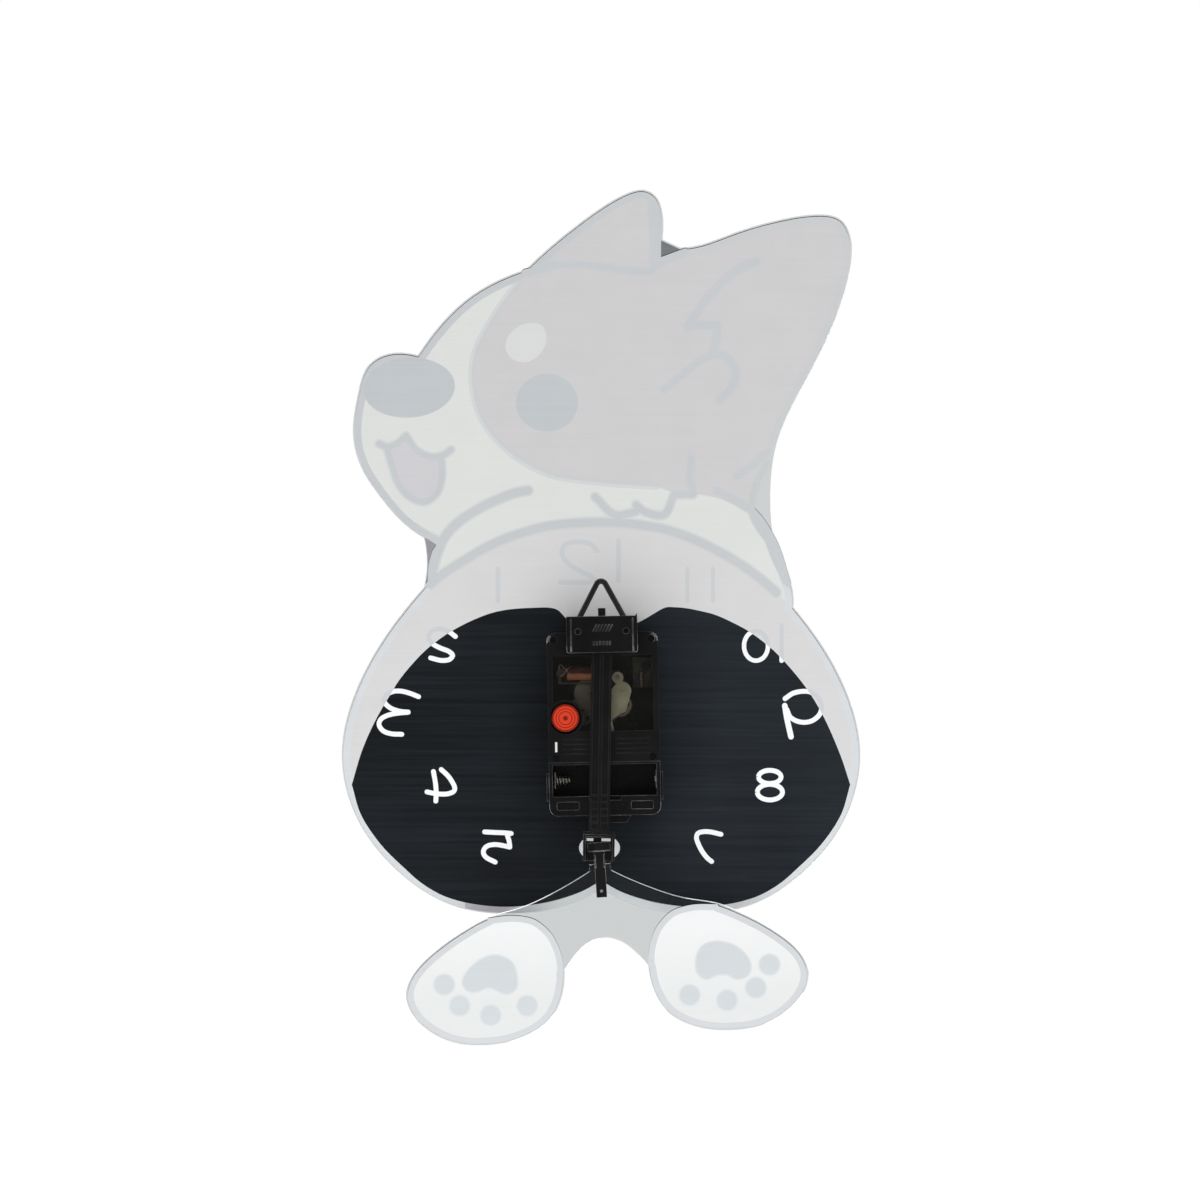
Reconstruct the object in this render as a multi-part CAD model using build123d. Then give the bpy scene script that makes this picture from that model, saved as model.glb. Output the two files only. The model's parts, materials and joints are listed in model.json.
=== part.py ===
from build123d import *
import math
import os

os.makedirs("parts", exist_ok=True)

# ---------------------------------------------------------------- driving dimensions (mm)
# Frame: origin on the inside of the hanger loop, +Z up, dial facing -Y, wall on the +Y side.
MOVEMENT_LEAN = 1.1        # the movement sits slightly turned in its mounting hole (deg about +Y)
ARM_LEAN = -0.91           # pendulum arm at rest, measured from vertical
FEET_LEAN = 3.5            # feet panel at rest, measured from vertical

PANEL_FRONT = -23.8        # dial panel, 3 mm sheet
PANEL_REAR = -20.8
CASE_FRONT = -20.0
FLOOR_TOP = -19.0          # inside face of the case floor
COVER_FRONT = -5.5
CASE_REAR = -4.0
BLOCK_REAR = 2.0           # rests on the wall

CASE_HALF_W = 27.8
CASE_TOP = -24.0
CASE_BOTTOM = -115.5
WALL = 1.6
BAY_HALF_W = 26.0
BAY_TOP = -90.0
BAY_BOTTOM = -105.8
WINDOW_HALF_W = 25.0
WINDOW_TOP = -35.6
WINDOW_BOTTOM = -73.4
BLOCK_HALF_W = 17.7
BLOCK_TOP = -16.0
BLOCK_BOTTOM = -34.2

SHAFT = (0.0, -62.0)       # all hands turn about this line
KNOB = (19.0, -66.6)
ROTOR = (-9.5, -53.5)
PIVOT = (0.0, -28.0)       # pendulum pivot in the movement
PIN_DROP = 103.0           # pivot to hang pin along the arm
FEET_PIN = (1.1, -131.0)   # hang pin in the resting pose

RUN_FIT = 0.05             # radial clearance of every turning pair

# gear train: teeth and modules
M_MOTION = 0.42            # cannon pinion, reverse wheel, knob pinion
M_TRAIN = 0.30             # rotor pinion, fourth wheel, second wheel
CANNON_T = 12
REVERSE_T = 36
KNOB_T = 10
REVERSE_PINION_T = 10
HOUR_T = 40
MINUTE_T = 64
THIRD_T = 60
SECOND_T = 48
FOURTH_T = 40
PINION_T = 8
C_MOTION = M_MOTION * (CANNON_T + REVERSE_T) / 2
C_KNOB = M_MOTION * (REVERSE_T + KNOB_T) / 2
C_THIRD = 9.52
C_FOURTH = M_TRAIN * (PINION_T + SECOND_T) / 2
C_ROTOR = M_TRAIN * (PINION_T + FOURTH_T) / 2
M_HOUR = 2 * C_MOTION / (REVERSE_PINION_T + HOUR_T)
M_THIRD = 2 * C_THIRD / (PINION_T + THIRD_T)
M_MINUTE = 2 * C_THIRD / (PINION_T + MINUTE_T)
THIRD_DIRECTION = 50.0     # bearing of the third wheel from the shaft, deg

# wheel layers, front to rear
L_HOUR = (-18.0, -17.2)
L_REVERSE = (-16.6, -15.8)
L_MINUTE = (-15.0, -14.2)
L_THIRD = (-13.4, -12.6)
L_SECOND = (-11.8, -11.0)
L_FOURTH = (-10.2, -9.4)
BRIDGE = (-6.6, -5.8)
STATOR = (-8.4, -7.6)

SECOND_R = 0.45
MINUTE_TUBE_R = 1.6
HOUR_TUBE_R = 2.5
BUSHING_R = 4.0
HOUR_HAND_Y = (-28.7, -27.7)
MINUTE_HAND_Y = (-30.3, -29.3)
SECOND_HAND_Y = (-31.9, -30.9)


# ---------------------------------------------------------------- helpers
def slab(face, y_front, y_rear):
    """Extrude a face drawn in (X, Z) between two depths."""
    return extrude(Plane.XZ.offset(-y_rear) * face, amount=y_rear - y_front, dir=(0, -1, 0))


def disc(centre, radius, y_front, y_rear):
    return slab(Pos(*centre) * Circle(radius), y_front, y_rear)


def ring(centre, outer, inner, y_front, y_rear):
    return slab(Pos(*centre) * (Circle(outer) - Circle(inner)), y_front, y_rear)


def rect(x0, x1, z0, z1, y_front, y_rear, corner=0.0):
    width = abs(x1 - x0)
    height = abs(z1 - z0)
    shape = RectangleRounded(width, height, corner) if corner else Rectangle(width, height)
    return slab(Pos((x0 + x1) / 2, (z0 + z1) / 2) * shape, y_front, y_rear)


def smooth_face(runs):
    """Face bounded by runs of points: two points give a line, more give a smooth curve."""
    edges = []
    for run in runs:
        edges.append(Line(*run) if len(run) == 2 else Spline(*run))
    return make_face(edges)


def bearing(a, b):
    return math.degrees(math.atan2(b[1] - a[1], b[0] - a[0]))


def polar(centre, distance, angle):
    rad = math.radians(angle)
    return (centre[0] + distance * math.cos(rad), centre[1] + distance * math.sin(rad))


def two_circles(a, ra, b, rb, side):
    """Centre that lies ra from a and rb from b, on the chosen side of the line a-b."""
    gap = math.hypot(b[0] - a[0], b[1] - a[1])
    along = (gap * gap + ra * ra - rb * rb) / (2 * gap)
    off = math.sqrt(ra * ra - along * along)
    ux = (b[0] - a[0]) / gap
    uz = (b[1] - a[1]) / gap
    return (a[0] + along * ux - side * off * uz, a[1] + along * uz + side * off * ux)


def meshed(phase, teeth, other_teeth, direction):
    """Phase of the mating gear so that its gap meets a tooth of the first gear."""
    return direction + 180 + 180 / other_teeth - (phase - direction) * teeth / other_teeth


def gear_face(teeth, module, phase, bore=0.0):
    pitch_r = teeth * module / 2
    tip = pitch_r + 0.75 * module
    root = pitch_r - 1.15 * module
    step = 360 / teeth
    points = []
    for i in range(teeth):
        middle = phase + i * step
        points.append(polar((0, 0), root, middle - 0.27 * step))
        points.append(polar((0, 0), tip, middle - 0.10 * step))
        points.append(polar((0, 0), tip, middle + 0.10 * step))
        points.append(polar((0, 0), root, middle + 0.27 * step))
    face = make_face(Polyline(*points, close=True))
    return face - Circle(bore) if bore else face


def gear(centre, teeth, module, phase, layer, bore=0.0, extra=0.0):
    face = gear_face(teeth, module, phase, bore)
    return slab(Pos(*centre) * face, layer[0] - extra, layer[1] + extra)


def lighten(wheel, centre, radius, hole, count, layer):
    """Round windows through a wheel."""
    for i in range(count):
        spot = polar(centre, radius, 30 + i * 360 / count)
        wheel -= disc(spot, hole, layer[0] - 1, layer[1] + 1)
    return wheel


def leaned(shape):
    """Put a movement part, drawn upright, into its resting place."""
    return Rot(0, MOVEMENT_LEAN, 0) * shape


def leaned_point(point):
    rad = math.radians(MOVEMENT_LEAN)
    x = point[0] * math.cos(rad) + point[1] * math.sin(rad)
    z = -point[0] * math.sin(rad) + point[1] * math.cos(rad)
    return (x, z)


def save(name, shape):
    export_step(shape, "parts/" + name + ".step")


shaft_at = leaned_point(SHAFT)
pivot_at = leaned_point(PIVOT)


def on_arm(shape):
    """Arm parts are drawn hanging from the pivot."""
    return Pos(pivot_at[0], 0, pivot_at[1]) * Rot(0, ARM_LEAN, 0) * shape


def on_feet(shape):
    """Feet parts are drawn hanging from the hang pin."""
    return Pos(FEET_PIN[0], 0, FEET_PIN[1]) * Rot(0, FEET_LEAN, 0) * shape


# ---------------------------------------------------------------- dial panel
rump = [
    (0, -152.5), (10, -158), (25, -163), (48, -165), (75, -160.5), (100, -145),
    (120, -121), (129.6, -85), (122.8, -54), (105, -22), (88.5, -1.5),
]
rump_right = [(-x, z) for x, z in rump[:9]] + [(-110, -29.8), (-96.2, -11.4)]
chin_side = [(88.5, -1.5), (87, 11), (88.5, 23)]
muzzle = [
    (88.5, 23), (100, 31.5), (111.5, 45), (120, 58.5), (124, 74), (121.5, 95.5),
    (116.2, 109.5), (110, 114), (100.5, 115.8), (91.6, 114.5),
]
forehead = [(91.6, 114.5), (80, 130), (65, 144), (50, 152.6), (37.6, 157.3)]
near_ear = [
    (37.6, 157.3), (25, 169), (10, 181), (-5, 191.3), (-14.5, 196), (-21, 197.2),
    (-27, 194.4), (-30.5, 187), (-31.2, 179), (-30.8, 172.3),
]
ear_web = [(-30.8, 172.3), (-39.7, 168.2)]
far_ear_and_back = [
    (-39.7, 168.2), (-50, 169.7), (-66, 175.4), (-90, 182.3), (-108, 184.8),
    (-119.8, 182.3), (-124.8, 173.5), (-125, 161), (-120, 140.6), (-110, 116.3),
    (-95, 88), (-88, 71), (-85, 53.5), (-84.8, 35), (-87.5, 18.5), (-93, 6), (-96.2, -11.4),
]
panel_face = smooth_face(
    [rump, chin_side, muzzle, forehead, near_ear, ear_web, far_ear_and_back, rump_right]
)
panel_face -= Pos(*shaft_at) * Circle(BUSHING_R + 0.1)
save("dial_panel", slab(panel_face, PANEL_FRONT, PANEL_REAR))

# ---------------------------------------------------------------- gear positions
reverse_at = two_circles(SHAFT, C_MOTION, KNOB, C_KNOB, 1)
third_at = polar(SHAFT, C_THIRD, THIRD_DIRECTION)
fourth_at = two_circles(SHAFT, C_FOURTH, ROTOR, C_ROTOR, 1)
bridge_top = (-7.4, -46.9)
bridge_foot = (-3.0, -72.2)
coil_end = (20.8, -44.2)

# ---------------------------------------------------------------- movement case
outer = Pos(0, (CASE_TOP + CASE_BOTTOM) / 2) * RectangleRounded(
    2 * CASE_HALF_W, CASE_TOP - CASE_BOTTOM, 4.5
)
case = slab(outer, CASE_FRONT, COVER_FRONT)
lower = rect(-30, 30, CASE_BOTTOM - 1, BAY_TOP + 1.2, COVER_FRONT, CASE_REAR)
case += lower & slab(outer, COVER_FRONT, CASE_REAR)
inner_half = CASE_HALF_W - WALL
case -= rect(-inner_half, inner_half, BAY_TOP + 1.2, CASE_TOP - WALL, FLOOR_TOP, COVER_FRONT, 2.5)
case -= rect(-BAY_HALF_W, BAY_HALF_W, BAY_BOTTOM, BAY_TOP, FLOOR_TOP, CASE_REAR)
# sloped apron under the bay, and side lugs
apron = Polygon((7, CASE_BOTTOM), (4.5, -119.2), (-10.5, -119.2), (-13, CASE_BOTTOM), align=None)
case += slab(apron, CASE_FRONT, -7.0)
for side in (-1, 1):
    case += rect(side * CASE_HALF_W, side * 29.0, -108, -94, -12, -5.5)
    case -= rect(side * 13, side * 24, -112.5, -108.5, -5.2, CASE_REAR, 0.8)
# thumb dip into the bay edge
case -= rect(-8, 8, BAY_BOTTOM - 2.2, BAY_BOTTOM + 0.5, -9, CASE_REAR)
# posts that carry the wheels, the board, the stator and the bridge
for spot, radius, top in (
    (third_at, 0.5, -12.2),
    (reverse_at, 0.5, -15.4),
    (coil_end, 1.8, STATOR[0]),
    (bridge_top, 2.2, STATOR[0]),
    (bridge_top, 1.4, BRIDGE[0]),
    (bridge_foot, 1.4, BRIDGE[0]),
    ((-23.0, -40.0), 1.4, -9.2),
    ((-17.0, -50.0), 1.4, -9.2),
    ((0.0, -81.0), 1.9, -6.0),
):
    case += disc(spot, radius, FLOOR_TOP - 0.2, top)
case += ring(ROTOR, 1.2, 0.4, FLOOR_TOP, -11.2)
case += ring(KNOB, 2.4, 1.0 + RUN_FIT, FLOOR_TOP, -17.2)
for spot in (bridge_top, bridge_foot):
    case -= disc(spot, 0.6, -12.0, BRIDGE[0])
cover_screw_spots = [(-24.4, -27.6), (24.4, -27.6), (-24.2, -86.6), (24.2, -86.6)]
for spot in cover_screw_spots:
    case += disc(spot, 1.8, FLOOR_TOP - 0.2, COVER_FRONT)
    case -= disc(spot, 0.75, -13.0, COVER_FRONT)
case -= disc(SHAFT, BUSHING_R, CASE_FRONT, FLOOR_TOP)
case -= rect(24.4, 25.0, -102, -93.5, FLOOR_TOP, -6.5)
save("movement_case", leaned(case))

# ---------------------------------------------------------------- rear cover and its window
cover_outline = rect(-30, 30, BAY_TOP + 1.2, CASE_TOP + 1, COVER_FRONT, CASE_REAR)
cover = slab(outer, COVER_FRONT, CASE_REAR) & cover_outline
window_cut = Pos(0, (WINDOW_TOP + WINDOW_BOTTOM) / 2) * Rectangle(
    2 * WINDOW_HALF_W, WINDOW_TOP - WINDOW_BOTTOM
)
knob_well = Pos(*KNOB) * Circle(9.0)
cover -= slab(window_cut - knob_well, COVER_FRONT, CASE_REAR)
cover -= disc(KNOB, 8.0, COVER_FRONT, CASE_REAR)
cup = ring(KNOB, 9.0, 8.0, -9.0, CASE_REAR) + ring(KNOB, 8.0, 1.0 + RUN_FIT, -9.0, -8.2)
cover += cup & rect(0, inner_half - 0.1, -80, -50, -9.0, CASE_REAR)
cover -= disc(KNOB, 7.3, -8.2, CASE_REAR)
cover -= disc(PIVOT, 0.8, COVER_FRONT, CASE_REAR)
for i in range(4):
    z = -77.4 - i * 2.4
    cover -= rect(-22.5, -6, z - 0.15, z + 0.15, CASE_REAR - 0.25, CASE_REAR)
    cover -= rect(6, 20.5, z - 0.15, z + 0.15, CASE_REAR - 0.25, CASE_REAR)
for spot in cover_screw_spots:
    cover -= disc(spot, 1.0, COVER_FRONT, CASE_REAR)
    cover -= disc(spot, 1.9, -4.9, CASE_REAR)
cover -= rect(23.3, 24.5, -83.6, -78.4, CASE_REAR - 0.6, CASE_REAR)
for side in (-1, 1):
    arc = Pos(side * 23.2, -28.6) * (Circle(4.4) - Circle(3.9))
    corner = Pos(side * 26, -25.8) * Rectangle(5.6, 5.6)
    cover -= slab(arc & corner, CASE_REAR - 0.3, CASE_REAR)
save("rear_cover", leaned(cover))

pane_cut = Pos(0, (WINDOW_TOP + WINDOW_BOTTOM) / 2) * Rectangle(
    2 * WINDOW_HALF_W, WINDOW_TOP - WINDOW_BOTTOM
)
pane = slab(pane_cut - Pos(*KNOB) * Circle(9.0), -5.2, -4.2)
save("window_pane", leaned(pane))

save("detent_tab", leaned(rect(23.35, 24.45, -83.5, -78.5, CASE_REAR - 0.6, CASE_REAR + 0.2)))

# ---------------------------------------------------------------- hanger block and loop
leg_foot = (12.0, -18.4)
loop_path = Plane.XZ * FilletPolyline(
    (leg_foot[0], leg_foot[1]), (0, 4.13), (-leg_foot[0], leg_foot[1]), radius=2.45
)
loop = sweep(Plane(loop_path @ 0, z_dir=loop_path % 0) * Circle(1.4), path=loop_path)
save("hanger_loop", leaned(loop))

block = rect(-BLOCK_HALF_W, BLOCK_HALF_W, CASE_TOP, BLOCK_TOP, CASE_FRONT, BLOCK_REAR)
block += rect(-BLOCK_HALF_W, BLOCK_HALF_W, BLOCK_BOTTOM, CASE_TOP, CASE_REAR, BLOCK_REAR)
block = fillet(block.edges().filter_by(Axis.Y).group_by(Axis.Z)[0], 1.2)
block -= rect(-7.6, 7.6, BLOCK_BOTTOM - 1, -23.5, CASE_REAR, 0.2)
block -= rect(-14.5, 14.5, CASE_TOP, BLOCK_TOP - 2.5, CASE_FRONT + 1.5, -6.0)
block += rect(-2.0, 1.8, BLOCK_TOP - 0.5, -12.0, -1.0, 1.0)
block += slab(Polygon((-17.7, -16.6), (-17.7, -14.7), (-16.6, -16.0), align=None), -2.0, 2.0)
block -= loop
block -= disc(PIVOT, 0.8, CASE_REAR, 1.2)
for side in (-1, 1):
    block -= rect(side * 15.2, side * 15.7, BLOCK_BOTTOM + 0.8, BLOCK_TOP - 1.2, 1.7, BLOCK_REAR)
    block -= disc((side * 12.0, -23.6), 1.5, 1.0, BLOCK_REAR)
for i in range(6):
    x = 4.2 - 1.6 * i
    slash = Polygon((x, -23.6), (x + 0.5, -23.6), (x - 1.2, -20.2), (x - 1.7, -20.2), align=None)
    block -= slab(slash, 1.7, BLOCK_REAR)
    block -= rect(x - 0.4, x + 0.3, -30.4, -28.6, 1.7, BLOCK_REAR)
save("hanger_block", leaned(block))

block_screws = Part()
for side in (-1, 1):
    spot = (side * 12.0, -23.6)
    block_screws += disc(spot, 1.4, 1.0, 1.7)
    block_screws -= rect(
        spot[0] - 1.0, spot[0] + 1.0, spot[1] - 0.2, spot[1] + 0.2, 1.4, 1.7
    )
save("block_screws", leaned(block_screws))

save("pivot_pin", leaned(disc(PIVOT, 0.8, COVER_FRONT, 1.2)))

# ---------------------------------------------------------------- shaft bushing and dial fixing
bushing = ring(SHAFT, BUSHING_R, HOUR_TUBE_R + 0.08, -27.0, FLOOR_TOP)
bushing += ring(SHAFT, 5.4, HOUR_TUBE_R + 0.08, FLOOR_TOP, -18.4)
for i in range(7):
    y = -26.6 + 0.9 * i
    bushing -= ring(SHAFT, BUSHING_R + 1, BUSHING_R - 0.3, y, y + 0.45)
save("threaded_bushing", leaned(bushing))
nut = slab(Pos(*SHAFT) * (RegularPolygon(6.9, 6) - Circle(BUSHING_R)), -26.4, -24.4)
save("dial_nut", leaned(nut))
save("dial_washer", leaned(ring(SHAFT, 7.5, BUSHING_R + 0.05, -24.4, PANEL_FRONT)))
save("case_gasket", leaned(ring(SHAFT, 9.5, BUSHING_R + 0.05, PANEL_REAR, CASE_FRONT)))

# ---------------------------------------------------------------- stepping motor
core = rect(-8.6, 22.4, -45.4, -43.0, STATOR[0], STATOR[1])
stator = core + slab(Pos(*bridge_top) * Circle(2.6), STATOR[0], STATOR[1])
stator += slab(Pos(*coil_end) * Circle(2.4), STATOR[0], STATOR[1])
stator += slab(Pos(*ROTOR) * Circle(4.6), STATOR[0], STATOR[1])
neck = Polygon((-9.8, -46.9), (-5.2, -46.9), (-6.4, -51.0), (-12.4, -51.0), align=None)
stator += slab(neck, STATOR[0], STATOR[1])
return_leg = Polygon(
    (22.4, -44.2), (22.4, -49.6), (-7.0, -50.8), (-7.0, -49.4), (20.8, -48.6), (20.8, -44.2),
    align=None,
)
stator += slab(return_leg, STATOR[0], STATOR[1])
stator -= disc(ROTOR, 3.1, STATOR[0], STATOR[1])
stator -= disc(bridge_top, 1.45, STATOR[0], STATOR[1])
save("motor_stator", leaned(stator))

core_mid = (STATOR[0] + STATOR[1]) / 2
bobbin = Pos(7.75, core_mid, -44.2) * Box(21.6, 2.0, 3.6)
for x in (-2.65, 18.15):
    bobbin += Pos(x, core_mid, -44.2) * Box(0.8, 4.6, 8.0)
bobbin -= Pos(7.75, core_mid, -44.2) * Box(30, 0.8, 2.4)
save("coil_bobbin", leaned(bobbin))
winding = Plane.YZ * (SlotOverall(7.3, 4.3, rotation=90) - Rectangle(2.0, 3.6))
coil = Pos(-2.25, core_mid, -44.2) * extrude(winding, amount=20.0)
save("motor_coil", leaned(coil))

bridge_elbow = (-9.2, -62.4)
bridge_face = Pos(*bridge_top) * Circle(2.9)
bridge_face += make_hull(
    (Pos(*ROTOR) * Circle(4.6)).edges()
    + (Pos(*bridge_elbow) * Circle(2.3)).edges()
    + (Pos(*SHAFT) * Circle(2.4)).edges()
)
bridge_face += make_hull(
    (Pos(*SHAFT) * Circle(2.4)).edges() + (Pos(*bridge_foot) * Circle(2.0)).edges()
)
bridge_face += Polygon(bridge_elbow, (-8.6, -64.6), (-4.0, -68.0), SHAFT, align=None)
bridge = slab(bridge_face, BRIDGE[0], BRIDGE[1])
bridge -= disc(ROTOR, 0.4, BRIDGE[0], BRIDGE[1])
bridge -= disc(SHAFT, SECOND_R + RUN_FIT, BRIDGE[0], BRIDGE[1])
for spot in (bridge_top, bridge_foot):
    bridge -= disc(spot, 0.7, BRIDGE[0], BRIDGE[1])
bridge -= ring(bridge_top, 2.3, 1.5, BRIDGE[1] - 0.3, BRIDGE[1])
bridge += ring(ROTOR, 1.6, 1.1, BRIDGE[1], BRIDGE[1] + 0.3)
bridge += disc(fourth_at, 0.45, -12.2, BRIDGE[0])
save("train_bridge", leaned(bridge))
bridge_screws = Part()
for spot in (bridge_top, bridge_foot):
    bridge_screws += disc(spot, 1.3, BRIDGE[1], -5.55)
    bridge_screws += disc(spot, 0.6, -11.0, BRIDGE[1])
save("bridge_screws", leaned(bridge_screws))

cover_screws = Part()
for spot in cover_screw_spots:
    cover_screws += disc(spot, 1.7, -4.9, -4.2)
    cover_screws += disc(spot, 0.75, -12.0, -4.9)
    cover_screws -= rect(spot[0] - 1.2, spot[0] + 1.2, spot[1] - 0.2, spot[1] + 0.2, -4.5, -4.2)
    cover_screws -= rect(spot[0] - 0.2, spot[0] + 0.2, spot[1] - 1.2, spot[1] + 1.2, -4.5, -4.2)
save("cover_screws", leaned(cover_screws))

# ---------------------------------------------------------------- electronics
board = rect(-25.6, -15.0, -52.0, -37.0, -9.2, -8.4)
save("circuit_board", leaned(board))
save("chip_blob", leaned(disc((-21.8, -41.2), 2.3, -8.4, -7.2)))
crystal = Pos(-19.2, -7.35, -52.0) * extrude(Circle(1.05), amount=7.6)
save("quartz_crystal", leaned(crystal))

drive_coil = ring((0.0, -81.0), 5.8, 2.5, -9.4, -6.4)
save("drive_coil", leaned(drive_coil))
drive_bobbin = ring((0.0, -81.0), 2.5, 1.9, -9.4, -6.4) + ring((0.0, -81.0), 6.2, 1.9, -9.9, -9.4)
save("drive_coil_bobbin", leaned(drive_bobbin))

# ---------------------------------------------------------------- battery contacts
contact = rect(24.5, 24.9, -101.8, -93.7, -18.9, -6.6)
save("spring_contact", leaned(contact))
helix = Helix(pitch=1.55, height=6.6, radius=2.9, cone_angle=-8)
wire_start = Plane(helix @ 0, z_dir=helix % 0)
spring = sweep(wire_start * Circle(0.3), path=helix, is_frenet=True)
spring = Pos(24.15, -12.0, -97.8) * Rot(0, -90, 0) * spring
save("battery_spring", leaned(spring))
plus = rect(-25.9, -25.5, -102.4, -93.2, -18.9, -6.6)
plus += Pos(-25.5, -12.0, -97.8) * Rot(0, 90, 0) * extrude(Circle(2.4), amount=0.5)
save("positive_contact", leaned(plus))

# ---------------------------------------------------------------- gear train
minute_phase = bearing(SHAFT, third_at)
cannon_phase = bearing(SHAFT, reverse_at)
reverse_phase = meshed(cannon_phase, CANNON_T, REVERSE_T, bearing(SHAFT, reverse_at))
knob_phase = meshed(reverse_phase, REVERSE_T, KNOB_T, bearing(reverse_at, KNOB))
hour_phase = bearing(SHAFT, reverse_at)
reverse_pinion_phase = meshed(
    hour_phase, HOUR_T, REVERSE_PINION_T, bearing(SHAFT, reverse_at)
)
third_pinion_phase = meshed(minute_phase, MINUTE_T, PINION_T, bearing(SHAFT, third_at))
second_pinion_phase = bearing(SHAFT, third_at)
third_phase = meshed(second_pinion_phase, PINION_T, THIRD_T, bearing(SHAFT, third_at))
second_phase = bearing(SHAFT, fourth_at)
fourth_pinion_phase = meshed(second_phase, SECOND_T, PINION_T, bearing(SHAFT, fourth_at))
fourth_phase = bearing(fourth_at, ROTOR)
rotor_phase = meshed(fourth_phase, FOURTH_T, PINION_T, bearing(fourth_at, ROTOR))

minute_wheel = gear(
    SHAFT, MINUTE_T, M_MINUTE, minute_phase, L_MINUTE, MINUTE_TUBE_R + RUN_FIT
)
save("minute_wheel", leaned(lighten(minute_wheel, SHAFT, 5.2, 1.5, 6, L_MINUTE)))
cannon = gear(SHAFT, CANNON_T, M_MOTION, cannon_phase, L_REVERSE, SECOND_R + 0.07)
cannon += ring(SHAFT, MINUTE_TUBE_R, SECOND_R + 0.07, MINUTE_HAND_Y[0], -13.8)
save("cannon_pinion", leaned(cannon))
save("clutch_spring", leaned(ring(SHAFT, 2.6, MINUTE_TUBE_R, L_REVERSE[1], -15.05)))
save("clutch_collar", leaned(ring(SHAFT, 2.3, MINUTE_TUBE_R, -14.15, -13.8)))

hour_wheel = gear(SHAFT, HOUR_T, M_HOUR, hour_phase, L_HOUR, MINUTE_TUBE_R + 0.08)
hour_wheel += ring(SHAFT, HOUR_TUBE_R, MINUTE_TUBE_R + 0.08, HOUR_HAND_Y[0], L_HOUR[0])
save("hour_wheel", leaned(lighten(hour_wheel, SHAFT, 5.4, 1.3, 6, L_HOUR)))

reverse_wheel = gear(
    reverse_at, REVERSE_T, M_MOTION, reverse_phase, L_REVERSE, 0.5 + RUN_FIT
)
save("reverse_wheel", leaned(lighten(reverse_wheel, reverse_at, 4.6, 1.3, 5, L_REVERSE)))
save("reverse_pinion", leaned(gear(
    reverse_at, REVERSE_PINION_T, M_HOUR, reverse_pinion_phase, (-18.2, L_REVERSE[0]),
    0.5 + RUN_FIT,
)))

third_wheel = gear(third_at, THIRD_T, M_THIRD, third_phase, L_THIRD, 0.5 + RUN_FIT)
save("third_wheel", leaned(third_wheel))
save("third_pinion", leaned(gear(
    third_at, PINION_T, M_MINUTE, third_pinion_phase, (-15.2, L_THIRD[0]), 0.5 + RUN_FIT,
)))

second_wheel = gear(SHAFT, SECOND_T, M_TRAIN, second_phase, L_SECOND, SECOND_R)
save("second_wheel", leaned(lighten(second_wheel, SHAFT, 4.4, 1.3, 6, L_SECOND)))
save("second_pinion", leaned(gear(
    SHAFT, PINION_T, M_THIRD, second_pinion_phase, (-13.6, L_SECOND[0]), SECOND_R,
)))
save("second_shaft", leaned(disc(SHAFT, SECOND_R, -31.6, -5.7)))

fourth_wheel = gear(fourth_at, FOURTH_T, M_TRAIN, fourth_phase, L_FOURTH, 0.45 + RUN_FIT)
save("fourth_wheel", leaned(lighten(fourth_wheel, fourth_at, 3.6, 1.1, 5, L_FOURTH)))
save("fourth_pinion", leaned(gear(
    fourth_at, PINION_T, M_TRAIN, fourth_pinion_phase, (-12.0, L_FOURTH[0]), 0.45 + RUN_FIT,
)))

save("rotor_magnet", leaned(ring(ROTOR, 2.6, 0.35, -9.0, -6.9)))
save("rotor_pinion", leaned(gear(ROTOR, PINION_T, M_TRAIN, rotor_phase, (-10.4, -9.0), 0.35)))
save("rotor_arbor", leaned(disc(ROTOR, 0.35, -12.4, -5.9)))

# ---------------------------------------------------------------- setting knob
teeth = 42
root_r = 5.7
tip_r = 6.85
knob_points = []
for i in range(teeth):
    knob_points.append(polar((0, 0), root_r, (i - 0.34) * 360 / teeth))
    knob_points.append(polar((0, 0), tip_r, (i - 0.16) * 360 / teeth))
    knob_points.append(polar((0, 0), tip_r, (i + 0.16) * 360 / teeth))
    knob_points.append(polar((0, 0), root_r, (i + 0.34) * 360 / teeth))
knob = slab(Pos(*KNOB) * make_face(Polyline(*knob_points, close=True)), -7.6, -3.6)
knob -= ring(KNOB, 5.0, 4.4, -4.1, -3.6)
knob -= ring(KNOB, 3.6, 3.0, -4.1, -3.6)
knob -= disc(KNOB, 1.3, -4.4, -3.6)
knob -= disc(KNOB, 1.0, -7.6, -5.0)
save("setting_knob", leaned(knob))
spindle = disc(KNOB, 1.0, -18.8, -5.0)
spindle += gear(KNOB, KNOB_T, M_MOTION, knob_phase, L_REVERSE, 0.0, 0.3)
save("knob_spindle", leaned(spindle))


# ---------------------------------------------------------------- hands, at 10:10:36
def hand(length, tail, root_w, tip_w, boss_r, bore, depth, angle):
    shape = Polygon(
        (-root_w / 2, -tail), (root_w / 2, -tail), (root_w / 2, 0), (tip_w / 2, length - tip_w),
        (0, length), (-tip_w / 2, length - tip_w), (-root_w / 2, 0), align=None,
    )
    shape += Circle(boss_r)
    if bore:
        shape -= Circle(bore)
    return slab(Pos(*SHAFT) * (Rot(0, 0, -angle) * shape), depth[0], depth[1])


save("hour_hand", leaned(hand(41, 9, 5.6, 3.2, 4.4, HOUR_TUBE_R, HOUR_HAND_Y, 305.3)))
save("minute_hand", leaned(hand(60, 11, 4.6, 2.2, 3.4, MINUTE_TUBE_R, MINUTE_HAND_Y, 63.6)))
second_hand = hand(62, 17, 1.2, 0.8, 2.2, 0, SECOND_HAND_Y, 216.0)
second_hand -= disc(SHAFT, SECOND_R, -31.6, SECOND_HAND_Y[1])
save("second_hand", leaned(second_hand))

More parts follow.
